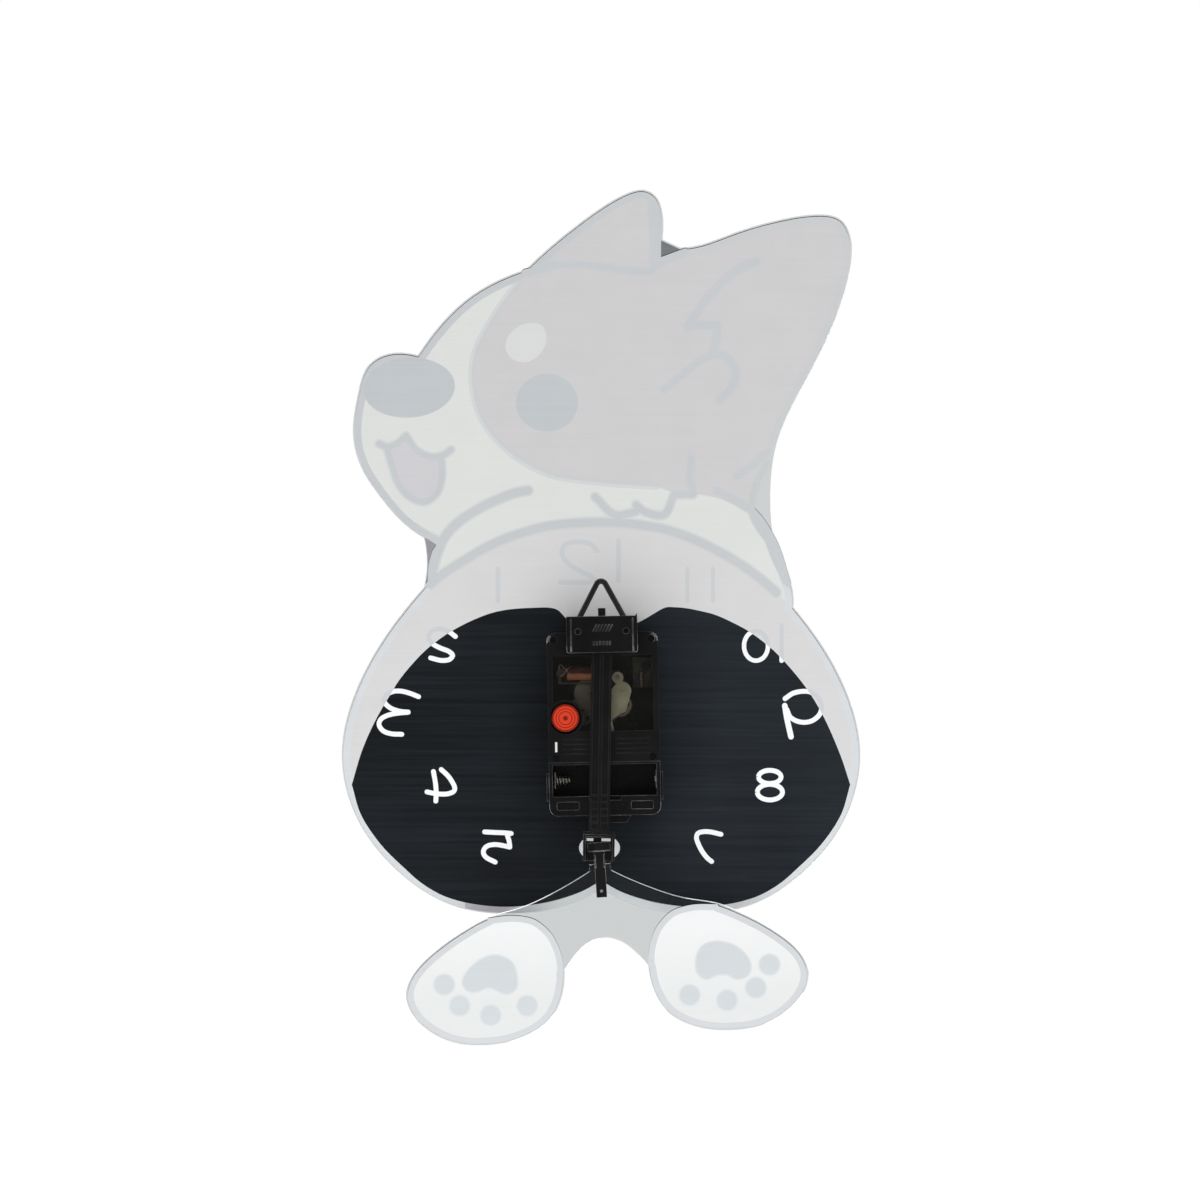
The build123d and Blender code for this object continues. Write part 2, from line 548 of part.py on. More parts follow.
# ---------------------------------------------------------------- pendulum arm
HALF = 5.1
arm_end = -95.6
stirrup_top = -97.0
stirrup_low = -110.2
STIRRUP_HALF = 7.9
arm = rect(-HALF, HALF, arm_end, -4.0, -2.0, -1.2)
arm += disc((0, 0), 3.4, -3.4, -0.4)
arm += rect(-2.8, 2.8, -6.0, 0, -3.4, -0.4)
for side in (-1, 1):
    arm += rect(side * (HALF - 1.1), side * HALF, arm_end, -4.0, -3.4, -0.4)
arm += rect(-0.8, 0.8, arm_end, -4.0, -2.0, -0.4)
arm += rect(-HALF, HALF, -5.2, -4.0, -3.4, -0.4)
arm += rect(-HALF, HALF, arm_end, arm_end + 1.2, -3.4, -0.4)
for i in range(5):
    z = arm_end + 4.6 + 3.4 * i
    arm += rect(-HALF, HALF, z - 0.4, z + 0.4, -2.0, -0.7)
arm += disc((0, -53.0), 3.9, -3.4, -2.0)
arm -= disc((0, -53.0), 3.0, -3.4, -2.0)
arm -= disc((0, 0), 0.8 + RUN_FIT, -4.0, 0.0)
arm += rect(-STIRRUP_HALF, STIRRUP_HALF, stirrup_top, arm_end, -3.4, -0.8)
for side in (-1, 1):
    arm += disc((side * 2.9, stirrup_top + 0.6), 0.45, -0.8, -0.4)
save("pendulum_arm", on_arm(arm))
save("arm_magnet", on_arm(disc((0, -53.0), 3.0, -3.4, -2.0)))

# stirrup: closed on three sides with a front web, the hang pin stands in the middle
stirrup = rect(-STIRRUP_HALF, STIRRUP_HALF, stirrup_low, stirrup_top, -5.4, -4.4, 0.8)
stirrup += rect(-STIRRUP_HALF, STIRRUP_HALF, stirrup_top - 1.2, stirrup_top, -4.6, -0.8)
for side in (-1, 1):
    stirrup += rect(side * 6.7, side * STIRRUP_HALF, stirrup_low, stirrup_top, -4.6, -0.8)
stirrup -= rect(-5.8, -1.3, -100.3, -98.9, -5.4, -4.4)
stirrup -= rect(2.8, 6.1, -100.3, -98.9, -5.4, -4.4)
stirrup -= disc((0, -PIN_DROP), 1.2, -5.4, -4.4)
save("stirrup", on_arm(stirrup))
pin = disc((0, -PIN_DROP), 1.2, -5.4, -1.7) + disc((0, -PIN_DROP), 1.9, -1.7, -1.2)
save("hang_pin", on_arm(pin))

# ---------------------------------------------------------------- hanging feet
strip = rect(-5.7, 5.7, -2.4, 2.1, -3.0, -1.8, 0.6)
strip += rect(-5.2, 5.2, -2.4, -2.0, -1.8, -1.5)
strip += rect(-2.65, 2.65, -25.4, 0, -3.0, -1.8)
strip -= disc((0, 0), 1.2 + RUN_FIT, -3.0, -1.8)
strip -= disc((0, -22.1), 0.45, -3.0, -1.8)
for side in (-1, 1):
    strip += rect(side * 2.0, side * 2.65, -10.4, -4.0, -1.8, -1.4)
save("hang_strip", on_feet(strip))

tab_top = -8.6
foot_side = [
    (5.5, -12.0), (26.3, -22.5), (42.5, -28.3), (57.5, -31.7), (67.5, -36.2), (77.0, -41.5),
    (87.0, -48.4), (97.7, -59.3), (100.7, -68.0), (98.8, -76.5), (90.5, -86.3), (78.0, -93.2),
    (62.0, -95.4), (50.0, -94.4), (40.0, -91.4), (28.5, -83.5), (22.5, -72.0), (20.7, -60.6),
]
far_side = [(-x, z) for x, z in foot_side]
arch = [(20.7, -60.6), (14.0, -52.4), (8.0, -47.7), (0, -45.5), (-8.0, -47.7), (-14.0, -52.4),
        (-20.7, -60.6)]
feet_face = smooth_face([
    [(5.5, tab_top), (5.5, -12.0)], foot_side, arch, far_side,
    [(-5.5, -12.0), (-5.5, tab_top)], [(-5.5, tab_top), (5.5, tab_top)],
])
feet = slab(feet_face, -5.0, -3.0)
feet = chamfer(feet.faces().sort_by(Axis.Y)[-1].edges(), 0.3)
feet -= disc((0, -22.1), 0.45, -5.0, -3.0)
save("feet_panel", on_feet(feet))
rivet = disc((0, -22.1), 0.45, -5.0, -1.8) + disc((0, -22.1), 1.0, -5.5, -5.0)
rivet += disc((0, -22.1), 0.75, -1.8, -1.4)
save("hang_rivet", on_feet(rivet))

# ---------------------------------------------------------------- places for the joints
for label, spot in (
    ("shaft", SHAFT), ("reverse", reverse_at), ("third", third_at), ("fourth", fourth_at),
    ("rotor", ROTOR), ("knob", KNOB), ("pivot", PIVOT),
):
    x, z = leaned_point(spot)
    print(label, round(x, 4), round(z, 4))
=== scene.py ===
"""Looks of the hanging-feet wall clock: printed clear acrylic, black quartz movement, hands."""
import json
import math

import bmesh
import bpy
import numpy as np
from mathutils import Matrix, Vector, geometry


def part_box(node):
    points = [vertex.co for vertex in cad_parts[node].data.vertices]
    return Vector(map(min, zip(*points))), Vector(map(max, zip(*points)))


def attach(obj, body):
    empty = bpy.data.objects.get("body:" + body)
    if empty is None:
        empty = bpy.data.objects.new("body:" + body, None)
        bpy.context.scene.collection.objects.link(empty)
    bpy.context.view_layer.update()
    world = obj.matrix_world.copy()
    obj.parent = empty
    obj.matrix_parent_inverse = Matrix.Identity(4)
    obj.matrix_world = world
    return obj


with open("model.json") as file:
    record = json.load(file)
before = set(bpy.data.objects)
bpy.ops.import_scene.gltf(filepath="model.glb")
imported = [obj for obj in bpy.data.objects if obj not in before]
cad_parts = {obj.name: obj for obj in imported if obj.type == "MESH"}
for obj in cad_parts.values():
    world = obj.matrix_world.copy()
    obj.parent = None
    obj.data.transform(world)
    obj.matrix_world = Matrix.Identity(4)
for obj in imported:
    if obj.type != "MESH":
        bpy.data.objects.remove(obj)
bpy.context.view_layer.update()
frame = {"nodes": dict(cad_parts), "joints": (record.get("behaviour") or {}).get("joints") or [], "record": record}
nodes = frame["nodes"]
joint_at = {j["name"]: np.array(j["pos_m"]) * 1000 for j in frame["joints"]}
MM = 0.001

# -------------------------------------------------------- sizes (mm)
STEP = 1.2                 # longest step along a drawn outline
CLEAR_RIM = 0.8            # the print stops this far inside the cut edge
BAND = 3.4                 # dark outline drawn just inside the print's edge
LINE = 3.4                 # drawn line
BLUR = 1.8                 # how much wider a line looks through the white backing
DIGIT = 2.4                # dial numbers
BEYOND = 200.0             # past the sheet's edge in every direction
FOOT_BAND = 3.0            # dark outline of a foot
PAD_BLUR = 1.6             # soft line round a foot's large pad
TOE, TOE_BLUR = 4.9, 5.7   # radius of a toe pad, and of its soft edge
PRINT_GAP = 0.02           # print to sheet
PRINT_FILM = 0.03          # thickness of each printed layer
MISPRINT = 0.35            # the white backing lies this much below the colours
BUSHING_HOLE = 4.15        # radius of the unprinted spot round the hands' tube
FEET_LEAN = math.radians(3.5)
LEAD_RADIUS = 0.11         # the coil's thin wires
LEAD_STEP = 0.4
GRAIN = 2600               # noise scale of a moulding's spark-eroded grain, per metre
# painted glints: corners of the case and of the hanger block painted bright as if they caught the light: (x, y,
# z), reach
GLINT_CORNERS = (
    ((25.0, -4.5, -112.2), 3.6), ((-30.0, -4.5, -111.6), 3.6), ((16.4, 2.0, -32.8), 2.4),
    ((-18.0, 2.0, -32.6), 3.0), ((27.4, -4.0, -27.6), 3.0), ((-26.6, -4.0, -26.4), 3.0),
)
KNOB_REACH = 7.0           # the knob's painted shade is laid out from its axis to this radius


# -------------------------------------------------------- flat shapes of (x, z) points, mm
def smooth(points, closed=False, spacing=STEP):
    """Points along a centripetal Catmull-Rom curve through the given ones, flat or in space."""
    p = np.array(points, float)
    if closed:
        p = np.vstack([p[-1:], p, p[:2]])
    else:
        p = np.vstack([2 * p[:1] - p[1:2], p, 2 * p[-1:] - p[-2:-1]])
    out = []
    for a, b, c, d in zip(p, p[1:], p[2:], p[3:]):
        t1 = np.linalg.norm(b - a) ** 0.5
        t2 = t1 + np.linalg.norm(c - b) ** 0.5
        t3 = t2 + np.linalg.norm(d - c) ** 0.5
        count = max(2, int(np.linalg.norm(c - b) / spacing))
        t = np.linspace(t1, t2, count, endpoint=False)[:, None]
        ab = (t1 - t) / t1 * a + t / t1 * b
        bc = (t2 - t) / (t2 - t1) * b + (t - t1) / (t2 - t1) * c
        cd = (t3 - t) / (t3 - t2) * c + (t - t2) / (t3 - t2) * d
        abc = (t2 - t) / t2 * ab + t / t2 * bc
        bcd = (t3 - t) / (t3 - t1) * bc + (t - t1) / (t3 - t1) * cd
        out.append((t2 - t) / (t2 - t1) * abc + (t - t1) / (t2 - t1) * bcd)
    if not closed:
        out.append(p[-2:-1])
    return np.vstack(out)


def ellipse(cx, cz, rx, rz, turn=0.0, count=40):
    """Points round an ellipse, turned by some degrees."""
    a = np.linspace(0, 2 * math.pi, count, endpoint=False)
    c, s = math.cos(math.radians(turn)), math.sin(math.radians(turn))
    x, z = rx * np.cos(a), rz * np.sin(a)
    return np.stack([cx + x * c - z * s, cz + x * s + z * c], 1)


def stroke(points, width=LINE, closed=False):
    """Shapes that cover a round-ended line."""
    line = smooth(points, closed, 0.9)
    if closed:
        line = np.vstack([line, line[:1]])
    ahead = np.gradient(line, axis=0)
    ahead /= np.linalg.norm(ahead, axis=1, keepdims=True)
    half = width / 2
    side = np.stack([-ahead[:, 1], ahead[:, 0]], 1) * half
    left, right = line + side, line - side
    shapes = []
    for i in range(len(line) - 1):
        shapes.append(np.array([left[i], right[i], right[i + 1]]))
        shapes.append(np.array([left[i], right[i + 1], left[i + 1]]))
    if not closed:
        for i in (0, -1):
            shapes.append(ellipse(*line[i], half, half, count=16))
    return shapes


def area(poly):
    """Signed area, positive when the points go counter-clockwise."""
    x, z = poly[:, 0], poly[:, 1]
    return 0.5 * float(np.sum(x * np.roll(z, -1) - np.roll(x, -1) * z))


def outline(node):
    """Outer edge of a sheet's rear face, counter-clockwise, no step over STEP."""
    mesh = nodes[node].data
    co = np.array([v.co for v in mesh.vertices]) / MM
    rear = co[:, 1].max()
    uses = {}
    for poly in mesh.polygons:
        ids = list(poly.vertices)
        if np.abs(co[ids, 1] - rear).max() > 1e-3:
            continue
        keys = [tuple(np.round(co[i, ::2], 3)) for i in ids]
        for a, b in zip(keys, keys[1:] + keys[:1]):
            uses[(a, b)] = 1
    follow = {a: b for a, b in uses if (b, a) not in uses}
    loops = []
    while follow:
        start, here = follow.popitem()
        loop = [start]
        while here != start:
            loop.append(here)
            here = follow.pop(here)
        loops.append(np.array(loop))
    longest = max(loops, key=lambda l: np.ptp(l[:, 0]))
    points = []
    for a, b in zip(longest, np.roll(longest, -1, axis=0)):
        count = max(1, math.ceil(np.linalg.norm(b - a) / STEP))
        for i in range(count):
            points.append(a + (b - a) * i / count)
    loop = np.array(points)
    return loop if area(loop) > 0 else loop[::-1]


def distance(points, loop):
    """Least distance from each point to a closed polyline."""
    a, b = loop, np.roll(loop, -1, axis=0)
    d = b - a
    rel = points[:, None, :] - a[None, :, :]
    t = np.clip((rel * d).sum(2) / np.maximum((d * d).sum(1), 1e-12), 0, 1)
    return np.linalg.norm(rel - t[..., None] * d, axis=2).min(1)


def inset(loop, depth):
    """The loop moved inwards, fanned out at its corners, without the knots that they would make."""
    before = loop - np.roll(loop, 1, axis=0)
    after = np.roll(loop, -1, axis=0) - loop
    n0 = np.stack([-before[:, 1], before[:, 0]], 1) / np.linalg.norm(before, axis=1)[:, None]
    n1 = np.stack([-after[:, 1], after[:, 0]], 1) / np.linalg.norm(after, axis=1)[:, None]
    moved = []
    for p, a, b in zip(loop, n0, n1):
        steps = 1 if a @ b > 0.97 else 6
        for s in range(steps):
            n = a + (b - a) * ((s + 0.5) / steps)
            moved.append(p + depth * n / np.linalg.norm(n))
    moved = np.array(moved)
    kept = moved[distance(moved, loop) > depth - 0.02]
    far = np.linalg.norm(kept - np.roll(kept, 1, axis=0), axis=1) > 0.05
    return kept[far]


def nearest(loop, point):
    """Index of the loop's point nearest to a place."""
    return int(np.argmin(np.linalg.norm(loop - np.array(point), axis=1)))


def stretch(loop, start, end):
    """The loop's points from start to end, in its own direction."""
    i, j = nearest(loop, start), nearest(loop, end)
    return loop[i:j + 1] if i <= j else np.vstack([loop[i:], loop[:j + 1]])


def reroute(loop, start, end, via):
    """The loop with its stretch from start to end replaced by other points."""
    return np.vstack([stretch(loop, end, start), np.array(via, float)])


def paint(layers):
    """Splits the plane where the layers' edges cross; the last layer at a place gives its ink.
    layers: (ink, shapes) or (ink, shapes, over), which only recolours places of the ink over.
    Returns points, triangles and an ink per triangle."""
    points, faces, rules = [], [], []
    for ink, shapes, *over in layers:
        for shape in shapes:
            size = area(shape)
            if abs(size) < 1e-4:
                continue
            ordered = shape if size > 0 else shape[::-1]
            faces.append(list(range(len(points), len(points) + len(ordered))))
            points.extend(Vector(p) for p in ordered)
            rules.append((ink, over))
    flat, _, tris, _, _, origins = geometry.delaunay_2d_cdt(points, [], faces, 1, 1e-4)
    kept, labels = [], []
    for tri, owners in zip(tris, origins):
        ink = None
        for owner in sorted(owners):
            new, over = rules[owner]
            if not over or ink in over:
                ink = new
        if ink is not None:
            kept.append(tri)
            labels.append(ink)
    return flat, kept, labels


def printed(name, body, layers, y_front, y_rear, drop=0.0):
    """A printed film: a thin closed solid whose faces carry the inks of the layers.
    drop: how far below its place the print lies."""
    flat, tris, labels = paint(layers)
    used = sorted({i for t in tris for i in t})
    index = {v: n for n, v in enumerate(used)}
    n = len(used)
    verts = [(flat[v].x * MM, y * MM, (flat[v].y - drop) * MM)
             for y in (y_rear, y_front) for v in used]
    names = sorted(set(labels))
    faces, slots, edges = [], [], {}
    for tri, ink in zip(tris, labels):
        a, b, c = (index[v] for v in tri)
        number = names.index(ink)
        faces += [(c, b, a), (a + n, b + n, c + n)]
        slots += [number, number]
        for e in ((a, b), (b, c), (c, a)):
            edges[e] = number
    for (a, b), number in edges.items():
        if (b, a) not in edges:
            faces.append((a, b, b + n, a + n))
            slots.append(number)
    mesh = bpy.data.meshes.new(name)
    mesh.from_pydata(verts, [], faces)
    for ink in names:
        mesh.materials.append(INKS[ink])
    mesh.polygons.foreach_set("material_index", slots)
    mesh.update()
    piece = bpy.data.objects.new(name, mesh)
    bpy.context.scene.collection.objects.link(piece)
    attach(piece, body)


# -------------------------------------------------------- materials
def srgb(r, g, b):
    """Linear colour of an 8-bit screen colour."""
    out = []
    for v in (r, g, b):
        v /= 255
        out.append(v / 12.92 if v <= 0.04045 else ((v + 0.055) / 1.055) ** 2.4)
    return (*out, 1.0)


class Shader:
    """A material with a Principled surface and a few node shortcuts."""

    def __init__(self, name, color, roughness, **sockets):
        self.material = bpy.data.materials.new(name)
        self.material.use_nodes = True
        self.tree = self.material.node_tree
        self.surface = self.tree.nodes["Principled BSDF"]
        self.color = color
        self.surface.inputs["Base Color"].default_value = color
        self.surface.inputs["Roughness"].default_value = roughness
        for key, value in sockets.items():
            self.surface.inputs[key.replace("_", " ")].default_value = value
        self.where = self.node("ShaderNodeTexCoord").outputs["Object"]

    def node(self, kind, **settings):
        made = self.tree.nodes.new(kind)
        for key, value in settings.items():
            setattr(made, key, value)
        return made

    def link(self, source, target):
        self.tree.links.new(source, target)

    def scaled(self, scale):
        """Object coordinates stretched by a scale per axis."""
        mapping = self.node("ShaderNodeMapping")
        mapping.inputs["Scale"].default_value = scale
        self.link(self.where, mapping.inputs["Vector"])
        return mapping.outputs["Vector"]

    def noise(self, scale, detail=3.0, rough=0.55, vector=None):
        made = self.node("ShaderNodeTexNoise")
        made.inputs["Scale"].default_value = scale
        made.inputs["Detail"].default_value = detail
        made.inputs["Roughness"].default_value = rough
        self.link(vector or self.where, made.inputs["Vector"])
        return made.outputs["Fac"]

    def math(self, operation, a, b=None):
        made = self.node("ShaderNodeMath", operation=operation)
        for socket, value in zip(made.inputs, (a, b)):
            if value is None:
                continue
            if isinstance(value, (int, float)):
                socket.default_value = value
            else:
                self.link(value, socket)
        return made.outputs[0]

    def spread(self, value, low, high, near=0.3, far=0.7):
        """Runs from low to high as the value goes from near to far."""
        made = self.node("ShaderNodeMapRange")
        ends = {"From Min": near, "From Max": far, "To Min": low, "To Max": high}
        for key, number in ends.items():
            made.inputs[key].default_value = number
        self.link(value, made.inputs["Value"])
        return made.outputs["Result"]

    def blend(self, first, second, factor):
        """Base colour from the first to the second, each a colour or a socket, by the factor."""
        mix = self.node("ShaderNodeMix", data_type="RGBA")
        self.link(factor, mix.inputs["Factor"])
        sides = [socket for socket in mix.inputs if socket.type == "RGBA"]
        for socket, color in zip(sides, (first, second)):
            if isinstance(color, bpy.types.NodeSocket):
                self.link(color, socket)
            else:
                socket.default_value = color
        result = [socket for socket in mix.outputs if socket.type == "RGBA"][0]
        self.link(result, self.surface.inputs["Base Color"])
        return result

    def tint(self, value, dark, light):
        """Base colour from dark to light times the plain colour."""
        first, second = ([min(1.0, c * factor) for c in self.color[:3]] + [1.0]
                         for factor in (dark, light))
        return self.blend(first, second, value)

    def paint_edge_highlight(self, plain, color, reach):
        """Painted edge highlight: lighter colour near edges, patchy, within reach mm of them; painted glints at
        the listed corners.
        """
        rounded = self.node("ShaderNodeBevel", samples=6)
        rounded.inputs["Radius"].default_value = reach * MM
        flat = self.node("ShaderNodeNewGeometry")
        dot = self.node("ShaderNodeVectorMath", operation="DOT_PRODUCT")
        self.link(rounded.outputs["Normal"], dot.inputs[0])
        self.link(flat.outputs["Normal"], dot.inputs[1])
        near_edge = self.spread(dot.outputs["Value"], 1, 0, 0.72, 0.99)
        patchy = self.spread(self.noise(110, 2.0, 0.6), 0.25, 1.0, 0.4, 0.66)
        # painted highlight: the given edge colour mixed in near edges, in patches
        edge_highlight = self.blend(plain, color, self.math("MULTIPLY", near_edge, patchy))
        bright = None
        # painted glints: near-white spots near the edges at the listed corners
        for corner, size in GLINT_CORNERS:
            away = self.node("ShaderNodeVectorMath", operation="DISTANCE")
            away.inputs[1].default_value = Vector(corner) * MM
            self.link(self.where, away.inputs[0])
            spot = self.spread(away.outputs["Value"], 1, 0, size * 0.5 * MM, size * MM)
            bright = self.math("MAXIMUM", bright, spot) if bright else spot
        self.blend(edge_highlight, srgb(240, 242, 244), self.math("MULTIPLY", near_edge, bright))

    def across(self, plain, color, axis, start, end):
        """Turns the base colour to another one between two places along an axis, in mm."""
        place_at = self.node("ShaderNodeSeparateXYZ")
        self.link(self.where, place_at.inputs[0])
        self.blend(plain, color, self.spread(place_at.outputs[axis], 0, 1, start * MM, end * MM))

    def rough(self, value, low, high):
        """Roughness from low to high with the value."""
        self.link(self.spread(value, low, high), self.surface.inputs["Roughness"])

    def bump(self, height, depth, strength=1.0, edge=0.0):
        """Relief of that depth in mm; edge rounds corners by that radius in mm."""
        made = self.node("ShaderNodeBump")
        made.inputs["Strength"].default_value = strength
        made.inputs["Distance"].default_value = depth * MM
        self.link(height, made.inputs["Height"])
        if edge:
            round_off = self.node("ShaderNodeBevel", samples=4)
            round_off.inputs["Radius"].default_value = edge * MM
            self.link(round_off.outputs["Normal"], made.inputs["Normal"])
        self.link(made.outputs["Normal"], self.surface.inputs["Normal"])


def ink(name, color, streak=0.02, level=0.3, fade=None):
    """UV-cured print: fine passes of the print head along X, faint mottling.
    fade: another colour, and the axis and places in mm between which it takes over."""
    s = Shader(name, srgb(*color), 0.42, Specular_IOR_Level=level)
    passes = s.noise(1.0, 2.0, 0.5, s.scaled((14, 1, 900)))
    mottle = s.noise(55, 4.0, 0.6)
    total = s.math("ADD", s.math("MULTIPLY", passes, 0.6), s.math("MULTIPLY", mottle, 0.4))
    plain = s.tint(s.spread(total, 0, 1, 0.38, 0.62), 1 - streak, 1 + streak)
    if fade:
        other, axis, start, end = fade
        s.across(plain, srgb(*other), axis, start, end)
    s.rough(mottle, 0.36, 0.48)
    s.bump(passes, 0.01, 0.5)
    return s.material


def block_out():
    """Near-black ink laid down in visible passes, uneven, and lighter towards -X."""
    s = Shader("blockout_black", srgb(21, 25, 29), 0.5, Specular_IOR_Level=0.14)
    passes = s.noise(1.0, 3.0, 0.7, s.scaled((9, 1, 620)))
    wide = s.noise(1.0, 2.0, 0.5, s.scaled((5, 1, 140)))
    cloud = s.noise(14, 2.0, 0.5)
    total = s.math("ADD", s.math("MULTIPLY", passes, 0.5), s.math("MULTIPLY", wide, 0.2))
    total = s.math("ADD", total, s.math("MULTIPLY", cloud, 0.3))
    parts = s.node("ShaderNodeSeparateXYZ")
    s.link(s.where, parts.inputs[0])
    lighter_towards_minus_x = s.spread(parts.outputs["X"], 0.13, -0.05, -0.06, 0.03)
    total = s.math("ADD", total, lighter_towards_minus_x)
    s.tint(s.spread(total, 0, 1, 0.36, 0.8), 0.62, 2.6)
    s.rough(passes, 0.42, 0.6)
    s.bump(passes, 0.012, 0.6)
    return s.material


INKS = {
    # seen from the front, through the sheet
    "line": ink("ink_line", (16, 14, 15), level=0.0),
    "cream": ink("ink_cream", (243, 240, 232), 0.01, level=0.0),
    "tan": ink("ink_tan", (214, 140, 78), level=0.0),
    "pink": ink("ink_pink", (232, 120, 124), level=0.0),
    "blush": ink("ink_blush", (236, 172, 144), level=0.0),
    # painted shade: grey ink on the clear slivers at the ear and under the chin
    "web": ink("ink_between_ears_shade", (116, 120, 124), 0.06),
    "chin_web": ink("ink_under_chin_shade", (150, 149, 152), 0.06),
    # seen from behind: the white backing, with what shows through it
    "backing": ink("backing_white", (221, 222, 219), 0.012),
    "tan_through": ink("backing_over_tan", (206, 204, 205), 0.014),
    "rump_through": ink("backing_over_rump", (214, 213, 213), 0.014),
    "line_through": ink("backing_over_line", (198, 201, 203), 0.014),
    "edge_through": ink("backing_over_lower_line", (213, 216, 218), 0.014),
    # painted shadow of the feet sheet on the lowest part of the outline: pale towards -X, dark towards +X
    "low_through": ink("backing_over_lowest_line_shadowed", (234, 237, 240), 0.03,
                       fade=((178, 178, 183), "X", 18.0, 50.0)),
    "soft_on_white": ink("backing_line_blur", (209, 212, 212), 0.012),
    "soft_on_tan": ink("backing_line_blur_tan", (202, 203, 204), 0.012),
    "soft_on_rump": ink("backing_line_blur_rump", (207, 208, 209), 0.012),
    "digit_through": ink("backing_over_digit", (203, 205, 208), 0.012),
    "dark_through": ink("backing_over_black", (193, 197, 200), 0.02),
    "pink_through": ink("backing_over_pink", (206, 204, 207), 0.014),
    "spot_through": ink("backing_over_spot", (217, 217, 217), 0.01),
    "block": block_out(),
    "white": ink("backing_number", (246, 247, 248), 0.006),
    "foot_through": ink("backing_foot", (222, 224, 223), 0.01,
                        fade=((234, 235, 235), "Z", -210.0, -172.0)),
    "foot_band": ink("backing_foot_band", (206, 208, 210), 0.012),
    "pad_soft": ink("backing_pad_blur", (216, 219, 220), 0.012),
    "pad_through": ink("backing_pad", (204, 209, 211), 0.014),
}


def acrylic():
    """Clear cast sheet with a flame-polished laser cut edge."""
    s = Shader("clear_acrylic", srgb(250, 252, 251), 0.03, Transmission_Weight=1.0, IOR=1.49)
    ripple = s.noise(1.0, 2.0, 0.5, s.scaled((700, 30, 700)))
    facing = s.node("ShaderNodeNewGeometry").outputs["Normal"]
    parts = s.node("ShaderNodeSeparateXYZ")
    s.link(facing, parts.inputs[0])
    edge = s.math("SUBTRACT", 1.0, s.math("ABSOLUTE", parts.outputs["Y"]))
    s.bump(s.math("MULTIPLY", ripple, edge), 0.12, 0.6, 0.5)
    s.rough(s.math("MULTIPLY", edge, 0.7), 0.02, 0.16)
    return s.material


def plastic(name, color, rough, grain=0.3, depth=0.012, vary=0.12, edge=0.25, level=0.5,
            edge_highlight=None):
    """Injection moulding with a spark-eroded grain and slightly rounded edges, with an optional painted highlight
    along them.
    """
    s = Shader(name, srgb(*color), rough, Specular_IOR_Level=level)
    fine = s.noise(GRAIN, 2.0, 0.6)
    broad = s.noise(60, 3.0, 0.5)
    plain = s.tint(s.spread(broad, 0, 1), 1 - vary, 1 + vary)
    if edge_highlight:
        s.paint_edge_highlight(plain, srgb(*edge_highlight), edge)
    s.rough(s.math("ADD", s.math("MULTIPLY", fine, 0.5), s.math("MULTIPLY", broad, 0.5)),
            rough - 0.07, rough + 0.07)
    s.bump(fine, depth, grain, edge)
    return s.material


def metal(name, color, rough):
    """Turned or rolled metal with fine drawing marks."""
    s = Shader(name, srgb(*color), rough, Metallic=1.0)
    marks = s.noise(1.0, 2.0, 0.6, s.scaled((40, 2600, 2600)))
    s.tint(s.spread(marks, 0, 1), 0.88, 1.06)
    s.rough(marks, rough - 0.08, rough + 0.1)
    s.bump(marks, 0.006, 0.4, 0.08)
    return s.material


def winding():
    """Enamelled copper wire, turns wound along X, with painted shade on its upper side and painted light on its
    lower side.
    """
    s = Shader("copper_winding", srgb(255, 150, 112), 0.4, Metallic=0.1)
    turns = s.node("ShaderNodeTexWave", bands_direction="X")
    turns.inputs["Scale"].default_value = 1400
    turns.inputs["Distortion"].default_value = 1.2
    turns.inputs["Detail Scale"].default_value = 0.4
    s.link(s.where, turns.inputs["Vector"])
    height = s.node("ShaderNodeSeparateXYZ")
    s.link(s.where, height.inputs[0])
    # painted shade over the coil's upper side, painted light along its lower side
    painted_light_below = s.spread(height.outputs["Z"], 1.0, 0.0, -45.3 * MM, -44.3 * MM)
    grooves = s.spread(turns.outputs["Fac"], 0.65, 1, 0.0, 1.0)
    s.tint(s.math("MULTIPLY", grooves, painted_light_below), 0.1, 1.3)
    s.rough(s.noise(300), 0.26, 0.4)
    s.bump(turns.outputs["Fac"], 0.05, 0.6)
    return s.material


def bare_wire():
    """Thin pale enamelled wire."""
    s = Shader("coil_wire", srgb(240, 224, 204), 0.35)
    s.tint(s.noise(700, 2.0), 0.6, 1.2)
    s.rough(s.noise(300), 0.26, 0.4)
    return s.material


def pane():
    """Thin smoked clear moulding: tints what is behind it, with a gloss on top."""
    s = Shader("smoked_pane", srgb(250, 248, 243), 0.08)
    haze = s.noise(90, 3.0)
    see = s.node("ShaderNodeBsdfTransparent")
    gloss = s.node("ShaderNodeBsdfGlossy")
    s.link(s.tint(s.spread(haze, 0, 1), 0.9, 1.05), see.inputs["Color"])
    s.link(s.spread(haze, 0.05, 0.14), gloss.inputs["Roughness"])
    relief = s.node("ShaderNodeBump")
    relief.inputs["Strength"].default_value = 0.3
    relief.inputs["Distance"].default_value = 0.05 * MM
    s.link(haze, relief.inputs["Height"])
    s.link(relief.outputs["Normal"], gloss.inputs["Normal"])
    fresnel = s.node("ShaderNodeFresnel")
    fresnel.inputs["IOR"].default_value = 1.49
    both = s.node("ShaderNodeMixShader")
    s.link(fresnel.outputs[0], both.inputs[0])
    s.link(see.outputs[0], both.inputs[1])
    s.link(gloss.outputs[0], both.inputs[2])
    s.link(both.outputs[0], s.tree.nodes["Material Output"].inputs["Surface"])
    return s.material


